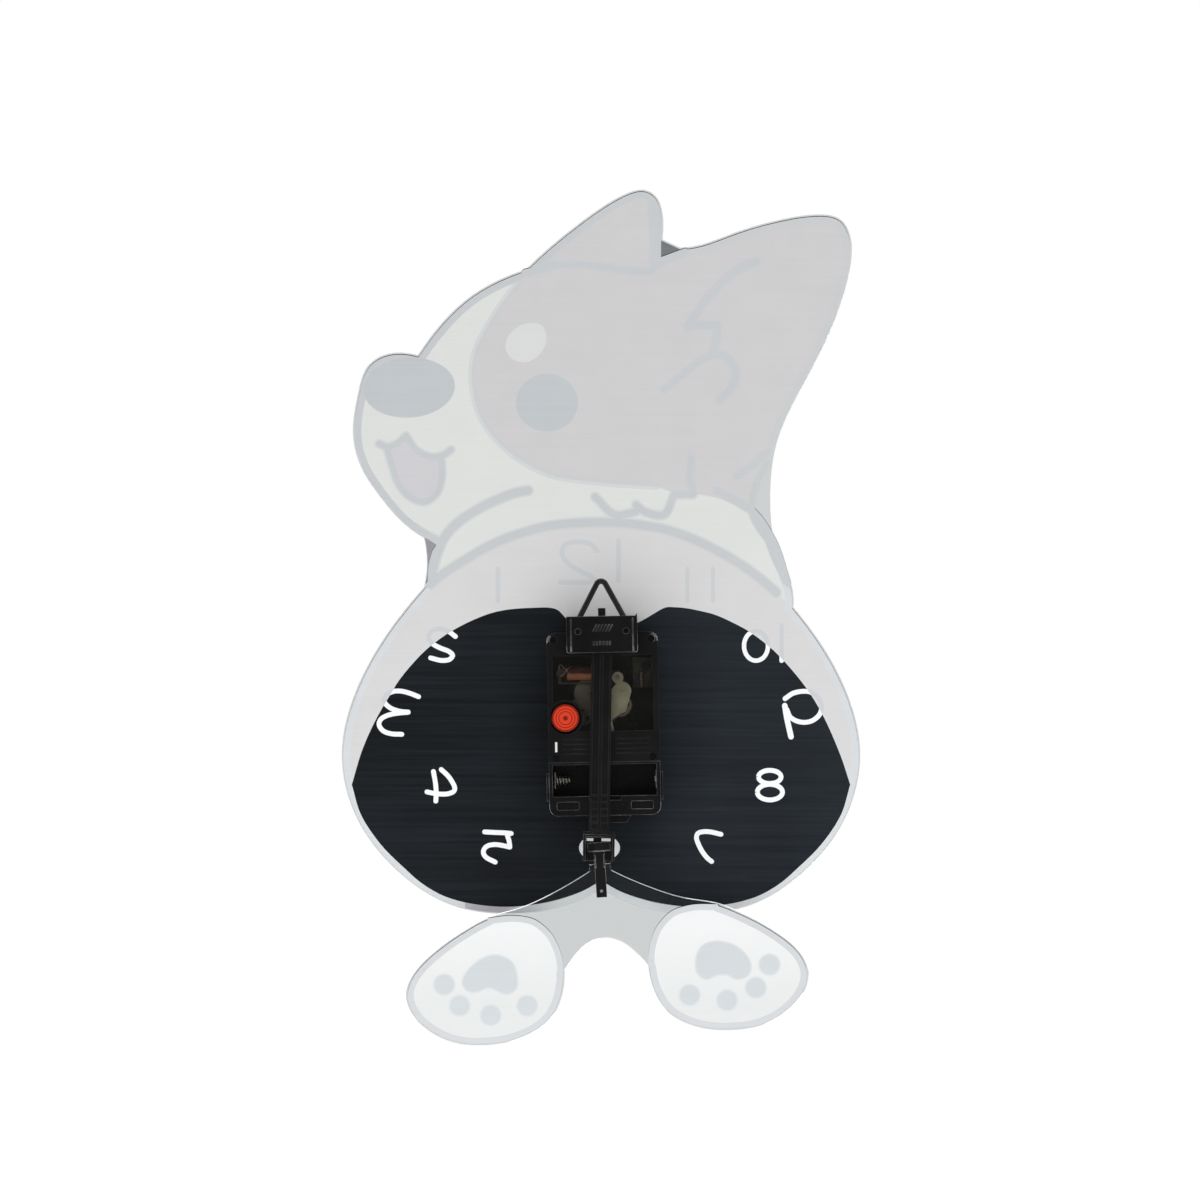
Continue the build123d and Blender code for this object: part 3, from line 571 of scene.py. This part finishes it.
def knob():
    """Orange moulding with painted shade in its middle hole and in the grooves of its face."""
    s = Shader("orange_knob", srgb(224, 62, 28), 0.42, Specular_IOR_Level=0.35)
    centre = s.node("ShaderNodeVectorMath", operation="SUBTRACT")
    axis = joint_at["knob_turn"] * MM
    centre.inputs[1].default_value = (axis[0], 0, axis[2])
    s.link(s.where, centre.inputs[0])
    flat = s.node("ShaderNodeVectorMath", operation="MULTIPLY")
    flat.inputs[1].default_value = (1, 0, 1)
    s.link(centre.outputs[0], flat.inputs[0])
    radius = s.node("ShaderNodeVectorMath", operation="LENGTH")
    s.link(flat.outputs[0], radius.inputs[0])
    # painted shade: darker centre hole and grooves, set by the radius from the knob's axis
    groove_shade = s.node("ShaderNodeValToRGB")
    stops = ((0.0, 0.1), (0.9, 0.2), (1.3, 0.8), (2.9, 0.85), (3.1, 0.5), (3.5, 0.5), (3.7, 1.0),
             (4.3, 0.9), (4.5, 0.55), (4.9, 0.55), (5.1, 0.95), (5.8, 0.8), (6.2, 0.5), (6.9, 1.0))
    for millimetres, level in stops:
        at = millimetres / KNOB_REACH
        stop = groove_shade.color_ramp.elements.new(at) if at else groove_shade.color_ramp.elements[0]
        stop.color = (level, level, level, 1)
    s.link(s.math("DIVIDE", radius.outputs["Value"], KNOB_REACH * MM), groove_shade.inputs[0])
    s.tint(groove_shade.outputs["Color"], 0.2, 1.06)
    s.rough(s.noise(GRAIN), 0.36, 0.5)
    s.bump(s.noise(GRAIN), 0.012, 0.25, 0.1)
    return s.material


def board():
    """Dark circuit board with its copper tracks showing through the mask."""
    s = Shader("circuit_board", srgb(34, 34, 26), 0.4)
    tracks = s.node("ShaderNodeTexVoronoi", distance="CHEBYCHEV", feature="F2")
    tracks.inputs["Scale"].default_value = 420
    s.link(s.where, tracks.inputs["Vector"])
    s.tint(s.spread(tracks.outputs["Distance"], 0, 1, 0.45, 0.6), 1.0, 2.2)
    s.rough(tracks.outputs["Distance"], 0.32, 0.5)
    s.bump(tracks.outputs["Distance"], 0.03, 0.4)
    return s.material


MATERIALS = {
    "printed_acrylic": acrylic(),
    # the colour given for the edges of each black moulding is a painted edge highlight: strong on the plain one,
    # faint on the matt one, near white on the lit one
    "black_plastic": plastic("black_moulding", (11, 11, 11), 0.3, 0.12, level=0.3, edge=0.4,
                             edge_highlight=(165, 165, 165)),
    "faint_highlight_plastic": plastic("black_moulding_faint_highlight", (11, 11, 11), 0.34, 0.12, level=0.3, edge=0.3,
                             edge_highlight=(66, 66, 66)),
    "lit_plastic": plastic("black_moulding_lit", (11, 11, 11), 0.3, 0.12, level=0.3, edge=0.35,
                           edge_highlight=(240, 240, 240)),
    "smoked_window": pane(),
    "white_plastic": plastic("white_acetal", (226, 226, 220), 0.45, vary=0.03),
    "blackened_steel": metal("blackened_steel", (44, 44, 47), 0.3),
    "steel": metal("bright_steel", (190, 190, 192), 0.28),
    "brass": metal("turned_brass", (206, 172, 98), 0.3),
    "rubber": plastic("gasket_rubber", (22, 22, 23), 0.8, 0.5, 0.02, level=0.3),
    "stator_steel": metal("stator_lamination", (92, 88, 82), 0.45),
    "amber_plastic": plastic("bobbin", (64, 46, 28), 0.45, vary=0.1),
    "copper_winding": winding(),
    "coil_wire": bare_wire(),
    "cream_plastic": plastic("cream_acetal", (222, 222, 202), 0.5, vary=0.05),
    "circuit_board": board(),
    "epoxy": plastic("epoxy_dome", (18, 18, 19), 0.2, 0.1),
    "crystal_can": metal("crystal_can", (150, 142, 122), 0.25),
    "nickel_steel": metal("nickel_plate", (150, 148, 142), 0.4),
    "magnet": metal("sintered_magnet", (92, 92, 96), 0.5),
    "grey_acetal": plastic("grey_acetal", (158, 149, 142), 0.48, vary=0.06),
    "black_hand": plastic("hand_paint", (20, 20, 22), 0.35, 0.2, level=0.5),
    "red_hand": plastic("second_hand_paint", (186, 30, 26), 0.3, 0.2),
    "orange_plastic": knob(),
}
slot_of = {s["node"]: s["material_slot"] for s in frame["record"]["subparts"]}
slot_of["fourth_wheel"] = "grey_acetal"    # the same moulding as its neighbours, not the white one
# painted light: the hang strip takes the copy with the brightest painted edge highlight, the parts below take the
# copy with a faint one
slot_of["hang_strip"] = "lit_plastic"
for faint_part in ("rear_cover", "pendulum_arm", "hang_pin"):
    slot_of[faint_part] = "faint_highlight_plastic"
for node_name, node in nodes.items():
    node.data.materials.clear()
    node.data.materials.append(MATERIALS[slot_of[node_name]])

# -------------------------------------------------------- outlines taken from the sheets
cut_edge = outline("dial_panel")
sheet_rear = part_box("dial_panel")[1].y / MM
shaft = joint_at["minute_turn"][[0, 2]]
print_edge = inset(cut_edge, CLEAR_RIM)
# slivers between the drawing and the cut edge: painted shade, grey ink at the ear and chin where the clear sheet
# looks dark; clear behind the neck
web = np.vstack([stretch(print_edge, (-30.8, 172.3), (-39.7, 168.2)), [(-30.0, 163.8)]])
print_edge = reroute(print_edge, (-30.8, 172.3), (-39.7, 168.2), [(-30.0, 163.8)])
chin = [(86.0, 0.6), (86.7, 5.0), (86.1, 10.8), (84.3, 17.0), (82.2, 20.0)]
chin_web = np.vstack([stretch(inset(cut_edge, 0.3), (88.3, 0.4), (89.3, 23.0)), chin[::-1]])
print_edge = reroute(print_edge, (88.0, -2.5), (88.4, 23.2), chin)
behind_neck = smooth([(-81.8, 55.6), (-78.0, 46.0), (-77.0, 37.0), (-80.0, 30.0), (-85.2, 23.0)])
print_edge = reroute(print_edge, (-85.0, 60.0), (-88.0, 17.0), behind_neck)
inner_edge = inset(print_edge, BAND)

# -------------------------------------------------------- drawing on the dial panel
patch_edge = smooth([(36.5, 157.0), (52.0, 137.0), (64.0, 112.0), (61.5, 87.0), (49.5, 69.5),
                     (27.0, 55.5), (-0.5, 51.0), (-28.0, 49.0)])
patch_fringe = smooth([(-28.0, 49.0), (-37.0, 46.0), (-50.0, 45.0), (-62.0, 42.0), (-72.0, 36.5)])
head_patch = np.vstack([
    patch_edge, patch_fringe, stretch(inner_edge[::-1], (-74.0, 36.5), (36.5, 154.0)),
])
rump_top = smooth([
    (85.5, 0.0), (80.0, 4.7), (70.0, 11.2), (60.0, 17.3), (50.0, 22.2), (40.0, 25.8),
    (30.0, 28.6), (20.0, 30.2), (10.0, 31.0), (-10.0, 31.0), (-20.0, 29.8), (-30.0, 28.1),
    (-40.0, 25.2), (-50.0, 21.1), (-60.0, 16.0), (-70.0, 10.1), (-80.0, 2.8), (-89.5, -5.5),
])
rump = np.vstack([rump_top[2:-2], stretch(inner_edge, (-92.0, -8.0), (87.0, -6.0))])

heart_left = smooth([
    (5.0, -24.0), (16.8, -17.3), (22.5, -12.2), (35.0, -11.6), (50.0, -13.0), (60.0, -16.0),
    (74.0, -22.8), (83.5, -29.3), (90.0, -35.0), (100.0, -46.5), (106.0, -56.0), (113.0, -68.3),
    (119.5, -83.0), (124.6, -100.0),
])
heart_low = smooth([
    (124.6, -100.0), (120.0, -115.0), (110.0, -130.0), (98.0, -142.0), (90.0, -149.0),
    (80.0, -155.0), (70.0, -158.4), (60.0, -160.2), (50.0, -161.0), (40.0, -160.7), (25.0, -158.3),
    (10.0, -153.5), (0.0, -148.0),
])
heart_right = smooth([
    (-124.6, -100.0), (-120.0, -86.0), (-111.2, -65.8), (-103.0, -52.2), (-92.0, -38.7),
    (-84.7, -31.5), (-74.0, -23.4), (-68.0, -20.0), (-57.0, -15.0), (-50.0, -13.2),
    (-43.0, -11.8), (-36.0, -11.2), (-32.5, -11.3), (-19.0, -18.7), (-5.0, -24.0),
])
heart = np.vstack([heart_left[:-1], heart_low[:-1], (heart_low * (-1, 1))[::-1][:-1], heart_right])

LINES = [
    # tuft under the near ear, neck and cheek
    ([(3, 44), (-7, 35), (-17.5, 36.5)], LINE),
    ([(-17.5, 40), (-22, 36.5), (-31.5, 35), (-36.5, 45)], LINE),
    ([(-36.5, 45), (-46, 45)], LINE),
    ([(-46, 45), (-44.6, 54), (-45, 63)], LINE),
    ([(-68, 54.5), (-76, 60), (-83, 66)], LINE),
    ([(-58, 47), (-76, 36.5), (-86.5, 21), (-93.5, 0.5)], LINE),
    # base of the ears
    ([(38, 156), (20, 160), (0, 159), (-15, 157), (-24, 157), (-30, 161), (-42, 166.5)], LINE),
    ([(-26.8, 161), (-26.6, 176), (-25.6, 190)], 4.6),
    ([(-77.5, 161.5), (-68, 157.5), (-55, 145.5), (-48, 136.5), (-43.5, 128.5)], 4.0),
    ([(-43.5, 129), (-51, 130), (-57.5, 129.5)], 4.0),
    ([(-58, 130), (-57.6, 122), (-56, 116)], 4.0),
    ([(-56, 115), (-50, 112.5), (-42, 106), (-31.5, 97.5)], LINE),
    ([(-55.5, 115.2), (-61.5, 114.3), (-65.8, 110.5), (-67.2, 105), (-64.8, 98),
      (-59.2, 92.5)], 3.8),
    # neck and chin
    ([(84.6, 2), (84.2, 6), (83.2, 11), (81.5, 16.5), (79.2, 22), (75.5, 27.2), (70, 32.3),
      (60, 38.6), (50, 43.3), (42, 46.1), (36.5, 47.1)], 4.2),
    ([(94, 28.9), (88, 25.3), (81, 22)], LINE),
    # mouth
    ([(111, 70.5), (107.2, 69), (102, 70.5), (97.5, 74.5)], 3.0),
    ([(97.5, 74.5), (92.5, 67.5), (85, 64), (79, 64.8), (75, 67.5)], 3.0),
    ([(106.8, 67.5), (104, 58), (101, 50), (95, 43.5), (88, 41.5), (82, 46), (79.5, 55),
      (80, 64)], 3.0),
    # top of the rump
    (rump_top[::6], 4.0),
]


def drawn(extra=0.0):
    """Shapes of all the drawn lines, wider by extra."""
    return [shape for points, width in LINES for shape in stroke(points, width + extra)]


tongue = smooth([(106.8, 68), (104, 58), (101, 50), (95, 43.5), (88, 41.5), (82, 46), (79.5, 55),
                 (80, 64.5), (86, 64.5), (92.5, 67.5), (96, 72), (101, 70)], closed=True)
nose = ellipse(96.0, 98.5, 23.0, 15.0, -4.0)
eye = ellipse(27.0, 91.0, 15.5, 14.5)
eye_light = ellipse(32.0, 96.5, 4.6, 4.2)
eye_spark = ellipse(22.5, 86.0, 2.2, 2.0)
nose_light = ellipse(103.0, 104.5, 6.5, 2.6, -14.0)
brow = smooth([(30.0, 130.0), (38.0, 130.5), (45.5, 125.5), (47.8, 118.5), (44.0, 112.5),
               (36.5, 111.5), (30.0, 116.0), (27.2, 123.5)], closed=True)


def digit(*strokes, width=DIGIT):
    """Shapes of a dial number from its strokes; a stroke whose ends meet is closed."""
    shapes = []
    for points in strokes:
        closed = points[0] == points[-1]
        shapes += stroke(points[:-1] if closed else points, width, closed)
    return shapes


def ring_points(cx, cz, rx, rz):
    """A closed stroke round an ellipse."""
    pts = [tuple(p) for p in ellipse(cx, cz, rx, rz, count=14)]
    return pts + pts[:1]


numbers = (
    # 12
    digit([(2.0, 17.0), (5.0, 20.2), (11.3, 21.4), (17.7, 20.2), (19.6, 16.5), (18.5, 13.0),
           (15.5, 10.0), (10.5, 6.8), (5.0, 4.2), (3.0, 2.0)],
          [(3.0, 1.5), (11.0, 1.0), (20.5, 1.2)], [(-8.8, 22.0), (-8.8, 2.0)])
    # 1
    + digit([(51.5, 8.0), (51.5, -8.0)])
    # 2
    + digit([(72.8, -25.9), (76.5, -23.2), (81.0, -22.0), (85.0, -23.5), (86.2, -26.6),
             (84.2, -29.5), (80.0, -31.8), (76.0, -33.4), (74.1, -35.4), (75.6, -37.3),
             (79.5, -37.9), (85.2, -36.6)])
    # 3
    + digit([(91.2, -56.0), (95.5, -54.3), (100.0, -53.2), (104.0, -53.4), (107.5, -55.3),
             (108.6, -58.0), (106.0, -61.2), (101.0, -63.2), (96.4, -63.7)],
            [(96.4, -63.8), (101.0, -64.2), (106.0, -65.1), (110.0, -67.2), (111.0, -70.0),
             (109.0, -73.0), (105.0, -74.5), (99.6, -74.8)])
    # 4
    + digit([(83.8, -93.4), (82.8, -99.0), (82.4, -104.0), (82.6, -108.2)],
            [(79.9, -92.4), (76.5, -95.6), (74.3, -98.8), (73.1, -101.6), (73.6, -103.3),
             (76.3, -104.5), (80.0, -104.7), (83.5, -104.3), (87.0, -103.6)])
    # 5
    + digit([(58.2, -123.6), (52.6, -123.9), (47.6, -124.1), (44.9, -124.4)],
            [(47.0, -124.8), (46.0, -128.0), (45.6, -131.2)],
            [(45.6, -131.2), (50.3, -130.2), (53.0, -129.9), (56.5, -130.5), (58.5, -132.2),
             (58.8, -134.3), (57.6, -136.2), (52.9, -138.7)])
    # 7
    + digit([(-60.0, -124.8), (-54.6, -123.6), (-51.0, -123.5), (-48.4, -124.4), (-47.7, -126.4),
             (-48.5, -129.2), (-50.5, -133.2), (-52.9, -136.4), (-55.3, -138.4)])
    # 8
    + digit(ring_points(-84.4, -96.1, 5.65, 3.3), ring_points(-84.45, -103.7, 6.3, 3.9))
    # 9
    + digit([(-92.0, -57.0), (-96.0, -54.3), (-101.0, -53.3), (-105.0, -53.8), (-109.0, -57.0),
             (-110.3, -60.5), (-109.5, -64.5), (-106.5, -67.5), (-102.5, -68.8), (-98.0, -68.2),
             (-94.5, -66.0), (-93.0, -62.5)])
    + digit([(-91.9, -60.5), (-93.0, -67.0), (-95.0, -76.0)], width=2.8)
    # 10
    + digit(ring_points(-77.5, -30.6, 6.0, 7.4), [(-90.3, -20.5), (-90.3, -38.0)], width=2.2)
    # 11
    + digit([(-43.2, 8.0), (-43.2, -8.0)], [(-56.0, 8.0), (-56.0, -8.0)], width=2.0)
)
six_spot = ellipse(0.75, -131.6, 10.25, 6.8)
six = digit([(4.0, -126.5), (0.5, -128.0), (-2.2, -132.0)], ring_points(1.2, -133.8, 3.5, 3.0))

shaft_hole = ellipse(*shaft, BUSHING_HOLE, BUSHING_HOLE, count=48)


def block(x0, x1, z0, z1):
    """A rectangle."""
    return np.array([(x0, z0), (x1, z0), (x1, z1), (x0, z1)], float)


# places where the outline looks different through the white backing
below = block(-BEYOND, BEYOND, -BEYOND, 0.0)
# painted shadow of the feet sheet falls on the outline in this area
lowest = block(-38.0, 68.0, -BEYOND, -140.0)
far_ear = block(-BEYOND, -37.0, 62.0, BEYOND)
blurred = drawn(BLUR) + stroke(patch_edge[::4])
colour_layers = [
    ("line", [print_edge]),
    ("web", [web]),
    ("chin_web", [chin_web]),
    ("cream", [inner_edge]),
    ("tan", [head_patch, rump]),
    ("cream", [heart, brow]),
    ("pink", [tongue]),
    ("line", drawn() + [nose, eye]),
    ("cream", [eye_light, eye_spark, nose_light]),
    ("line", numbers + six),
    (None, [shaft_hole]),
]
backing_layers = [
    ("line_through", [print_edge]),
    ("edge_through", [below], "line_through"),
    ("low_through", [lowest], "edge_through"),
    ("soft_on_tan", [far_ear], "line_through"),
    ("backing", [inner_edge]),
    ("tan_through", [head_patch]),
    ("rump_through", [rump]),
    ("pink_through", [tongue]),
    ("soft_on_white", blurred, "backing"),
    ("soft_on_tan", blurred, "tan_through"),
    ("soft_on_rump", blurred + numbers, "rump_through"),
    ("digit_through", numbers, "soft_on_rump"),
    ("spot_through", [brow]),
    ("line_through", drawn()),
    ("dark_through", [nose, eye]),
    ("block", [heart]),
    ("white", numbers + [six_spot], "block"),
    (None, [shaft_hole + (0, MISPRINT)]),
]
first = sheet_rear + PRINT_GAP
printed("colour_print", "clock", colour_layers, first, first + PRINT_FILM)
second = first + PRINT_FILM + PRINT_GAP
printed("backing_print", "clock", backing_layers, second, second + PRINT_FILM, MISPRINT)

# -------------------------------------------------------- drawing on the feet
feet_pin = joint_at["feet_rock"][[0, 2]]


def from_pin(points, side=1):
    """Points measured from the hang pin along the leaning feet sheet, to (x, z)."""
    p = np.array(points, float) * (side, 1)
    x = p[:, 0] * math.cos(FEET_LEAN) + p[:, 1] * math.sin(FEET_LEAN)
    z = -p[:, 0] * math.sin(FEET_LEAN) + p[:, 1] * math.cos(FEET_LEAN)
    return np.stack([x, z], 1) + feet_pin


feet_edge = inset(outline("feet_panel"), CLEAR_RIM)
feet_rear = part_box("feet_panel")[1].y / MM
INSTEP = [(57.5, -31.9), (44.9, -31.4), (35.0, -33.6), (30.2, -37.0), (25.5, -42.7),
          (21.9, -52.5), (21.2, -60.6)]


def foot_shape(side):
    """One printed foot: the sheet's edge outside, the instep line towards the middle."""
    instep = smooth(from_pin(INSTEP, side))
    if side > 0:
        edge = stretch(feet_edge[::-1], instep[0], instep[-1])
    else:
        edge = stretch(feet_edge, instep[0], instep[-1])
    loop = np.vstack([edge[1:-1], instep[::-1]])
    return loop if area(loop) > 0 else loop[::-1]


# for each foot, by its side along X: the large pad, then the middles of the toe pads
PADS = {
    1: (smooth([(53.0, -185.0), (60.5, -187.5), (66.5, -193.0), (69.0, -198.5), (66.5, -202.5),
                (61.5, -202.8), (56.0, -200.6), (52.0, -202.2), (47.0, -204.4), (42.5, -201.5),
                (42.2, -195.0), (44.5, -188.5)], closed=True),
        [(78.2, -199.5), (70.5, -210.0), (55.0, -214.8), (36.8, -210.0)]),
    -1: (smooth([(-57.0, -178.2), (-50.5, -180.5), (-47.6, -187.0), (-48.5, -194.0),
                 (-52.5, -196.6), (-57.5, -194.6), (-62.5, -194.2), (-68.0, -196.6),
                 (-73.5, -194.5), (-74.4, -189.0), (-70.5, -183.0), (-64.0, -179.2)], closed=True),
         [(-84.0, -189.5), (-77.2, -201.0), (-62.9, -207.3), (-44.2, -204.7)]),
}
foot_shapes = {side: foot_shape(side) for side in (1, -1)}
for name, inks, depth in (
    ("feet_colour_print", ("line", "cream", "blush", "blush"), 0),
    ("feet_backing_print", ("foot_band", "foot_through", "pad_soft", "pad_through"), 1),
):
    band, fill, soft, pad = inks
    layers = []
    for side in (1, -1):
        main, toes = PADS[side]
        edge = main[::3]
        layers.append((band, [foot_shapes[side]]))
        layers.append((fill, [inset(foot_shapes[side], FOOT_BAND)]))
        layers.append((soft, stroke(edge, PAD_BLUR, True)
                       + [ellipse(x, z, TOE_BLUR, TOE_BLUR) for x, z in toes]))
        layers.append((pad, [main] + [ellipse(x, z, TOE, TOE) for x, z in toes]))
    front = feet_rear + PRINT_GAP + depth * (PRINT_FILM + PRINT_GAP)
    printed(name, "feet", layers, front, front + PRINT_FILM, depth * MISPRINT)


# -------------------------------------------------------- ends of the motor coil's winding
def wire(name, points, sides=8):
    """A wire fixed at both ends: a closed tube along a curve through (x, y, z) points."""
    line = smooth(points, spacing=LEAD_STEP)
    ahead = np.gradient(line, axis=0)
    ahead /= np.linalg.norm(ahead, axis=1)[:, None]
    across = np.cross(ahead, (0.0, 1.0, 0.0))
    across /= np.linalg.norm(across, axis=1)[:, None]
    turn = np.linspace(0, 2 * np.pi, sides, endpoint=False)[:, None, None]
    tube = line + LEAD_RADIUS * (across * np.cos(turn) + np.cross(ahead, across) * np.sin(turn))
    verts = tube.transpose(1, 0, 2).reshape(-1, 3) * MM
    faces = [tuple(range(sides))[::-1], tuple(range(len(verts) - sides, len(verts)))]
    for start in range(0, len(verts) - sides, sides):
        for i in range(sides):
            j = (i + 1) % sides
            faces.append((start + i, start + j, start + sides + j, start + sides + i))
    mesh = bpy.data.meshes.new(name)
    mesh.from_pydata(verts.tolist(), [], faces)
    mesh.materials.append(MATERIALS["coil_wire"])
    mesh.shade_smooth()
    piece = bpy.data.objects.new(name, mesh)
    bpy.context.scene.collection.objects.link(piece)
    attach(piece, "clock")


wire("coil_lead_a", [(15.8, -5.9, -45.2), (16.6, -5.5, -43.9), (18.6, -5.45, -41.8),
                     (20.2, -5.6, -40.3), (21.0, -6.5, -40.9), (20.9, -7.65, -42.4)])
wire("coil_lead_b", [(15.0, -5.9, -40.9), (15.9, -5.65, -41.8), (17.6, -5.75, -43.6),
                     (19.2, -5.8, -45.6), (20.0, -6.5, -46.3), (20.4, -7.65, -45.6)])

# -------------------------------------------------------- studio, in metres
LAMP_TARGET = Vector((0.0, 0.0, -0.02))
FLOOR_LEVEL = -0.30
FLOOR_RADIUS = 1.3
FLOOR_FADE = (0.35, 1.2)   # radii between which the floor fades out
FRAME_WIDTH = 0.6          # what the picture's width covers at the dial panel
CAMERA_DISTANCE = 7.0      # far off, because the photo shows no perspective
CAMERA_X, CAMERA_Z = 0.0005, -0.008

scene = bpy.context.scene
scene.view_settings.view_transform = "Standard"

world = bpy.data.worlds.new("studio")
scene.world = world
world.use_nodes = True
tree = world.node_tree
tree.nodes.clear()
out = tree.nodes.new("ShaderNodeOutputWorld")
mix = tree.nodes.new("ShaderNodeMixShader")
path = tree.nodes.new("ShaderNodeLightPath")
around = tree.nodes.new("ShaderNodeBackground")
behind = tree.nodes.new("ShaderNodeBackground")
around.inputs["Color"].default_value = (0.98, 0.99, 1.0, 1)
behind.inputs["Color"].default_value = (1, 1, 1, 1)
# the room behind the photographer, out along +Y, is darker than the tent around the clock
sky = tree.nodes.new("ShaderNodeTexCoord")
parts = tree.nodes.new("ShaderNodeSeparateXYZ")
dim = tree.nodes.new("ShaderNodeValToRGB")
ramp = dim.color_ramp
ramp.interpolation = "EASE"
for place_at, level in ((0.0, 0.7), (0.06, 0.72), (0.16, 0.86), (0.84, 0.86), (0.97, 0.1)):
    stop = ramp.elements.new(place_at) if place_at else ramp.elements[0]
    stop.color = (level, level, level, 1)
ramp.elements[-1].color = (0.1, 0.1, 0.1, 1)
half = tree.nodes.new("ShaderNodeMath")
half.operation = "MULTIPLY_ADD"
half.inputs[1].default_value = 0.5
half.inputs[2].default_value = 0.5
for source, target in (
    (sky.outputs["Generated"], parts.inputs[0]),
    (parts.outputs["Y"], half.inputs[0]),
    (half.outputs[0], dim.inputs["Fac"]),
    (dim.outputs["Color"], around.inputs["Strength"]),
    (path.outputs["Is Camera Ray"], mix.inputs[0]),
    (around.outputs[0], mix.inputs[1]),
    (behind.outputs[0], mix.inputs[2]),
    (mix.outputs[0], out.inputs[0]),
):
    tree.links.new(source, target)


def softbox(name, location, size, power):
    """A rectangular lamp of that size and power in watts, aimed at the clock."""
    data = bpy.data.lights.new(name, "AREA")
    data.shape = "RECTANGLE"
    data.size, data.size_y = size
    data.energy = power
    lamp = bpy.data.objects.new(name, data)
    lamp.location = location
    lamp.rotation_euler = (LAMP_TARGET - Vector(location)).to_track_quat("-Z", "Y").to_euler()
    scene.collection.objects.link(lamp)


softbox("rear_top", (-0.2, 1.1, 1.35), (1.8, 0.35), 9)
softbox("rear_side", (-1.35, 1.1, 0.15), (0.3, 1.4), 4.2)
softbox("rear_other_side", (1.35, 1.1, 0.15), (0.3, 1.4), 2.2)
softbox("front_key", (0.9, -1.4, 0.9), (0.9, 0.9), 21)
softbox("front_fill", (-1.2, -1.2, 0.0), (0.9, 1.4), 9)

floor_mesh = bpy.data.meshes.new("floor")
maker = bmesh.new()
bmesh.ops.create_circle(maker, cap_ends=True, segments=96, radius=FLOOR_RADIUS)
maker.to_mesh(floor_mesh)
maker.free()
floor = bpy.data.objects.new("floor", floor_mesh)
floor.location.z = FLOOR_LEVEL
scene.collection.objects.link(floor)
paper = Shader("floor_paper", (0.9, 0.9, 0.9, 1), 0.9, Emission_Color=(1, 1, 1, 1),
               Emission_Strength=0.3)
paper.tint(paper.spread(paper.noise(3.0), 0, 1), 0.99, 1.01)
reach = paper.node("ShaderNodeVectorMath", operation="LENGTH")
paper.link(paper.where, reach.inputs[0])
fade = paper.node("ShaderNodeMixShader")
clear = paper.node("ShaderNodeBsdfTransparent")
paper.link(paper.spread(reach.outputs["Value"], 0, 1, *FLOOR_FADE), fade.inputs[0])
paper.link(paper.surface.outputs[0], fade.inputs[1])
paper.link(clear.outputs[0], fade.inputs[2])
paper.link(fade.outputs[0], paper.tree.nodes["Material Output"].inputs["Surface"])
floor_mesh.materials.append(paper.material)

camera_data = bpy.data.cameras.new("camera")
camera_data.sensor_width = 36
camera_data.lens = camera_data.sensor_width * CAMERA_DISTANCE / FRAME_WIDTH
camera = bpy.data.objects.new("camera", camera_data)
camera.location = (CAMERA_X, sheet_rear * MM + CAMERA_DISTANCE, CAMERA_Z)
camera.rotation_euler = (math.radians(90), 0, math.radians(180))
scene.collection.objects.link(camera)
scene.camera = camera
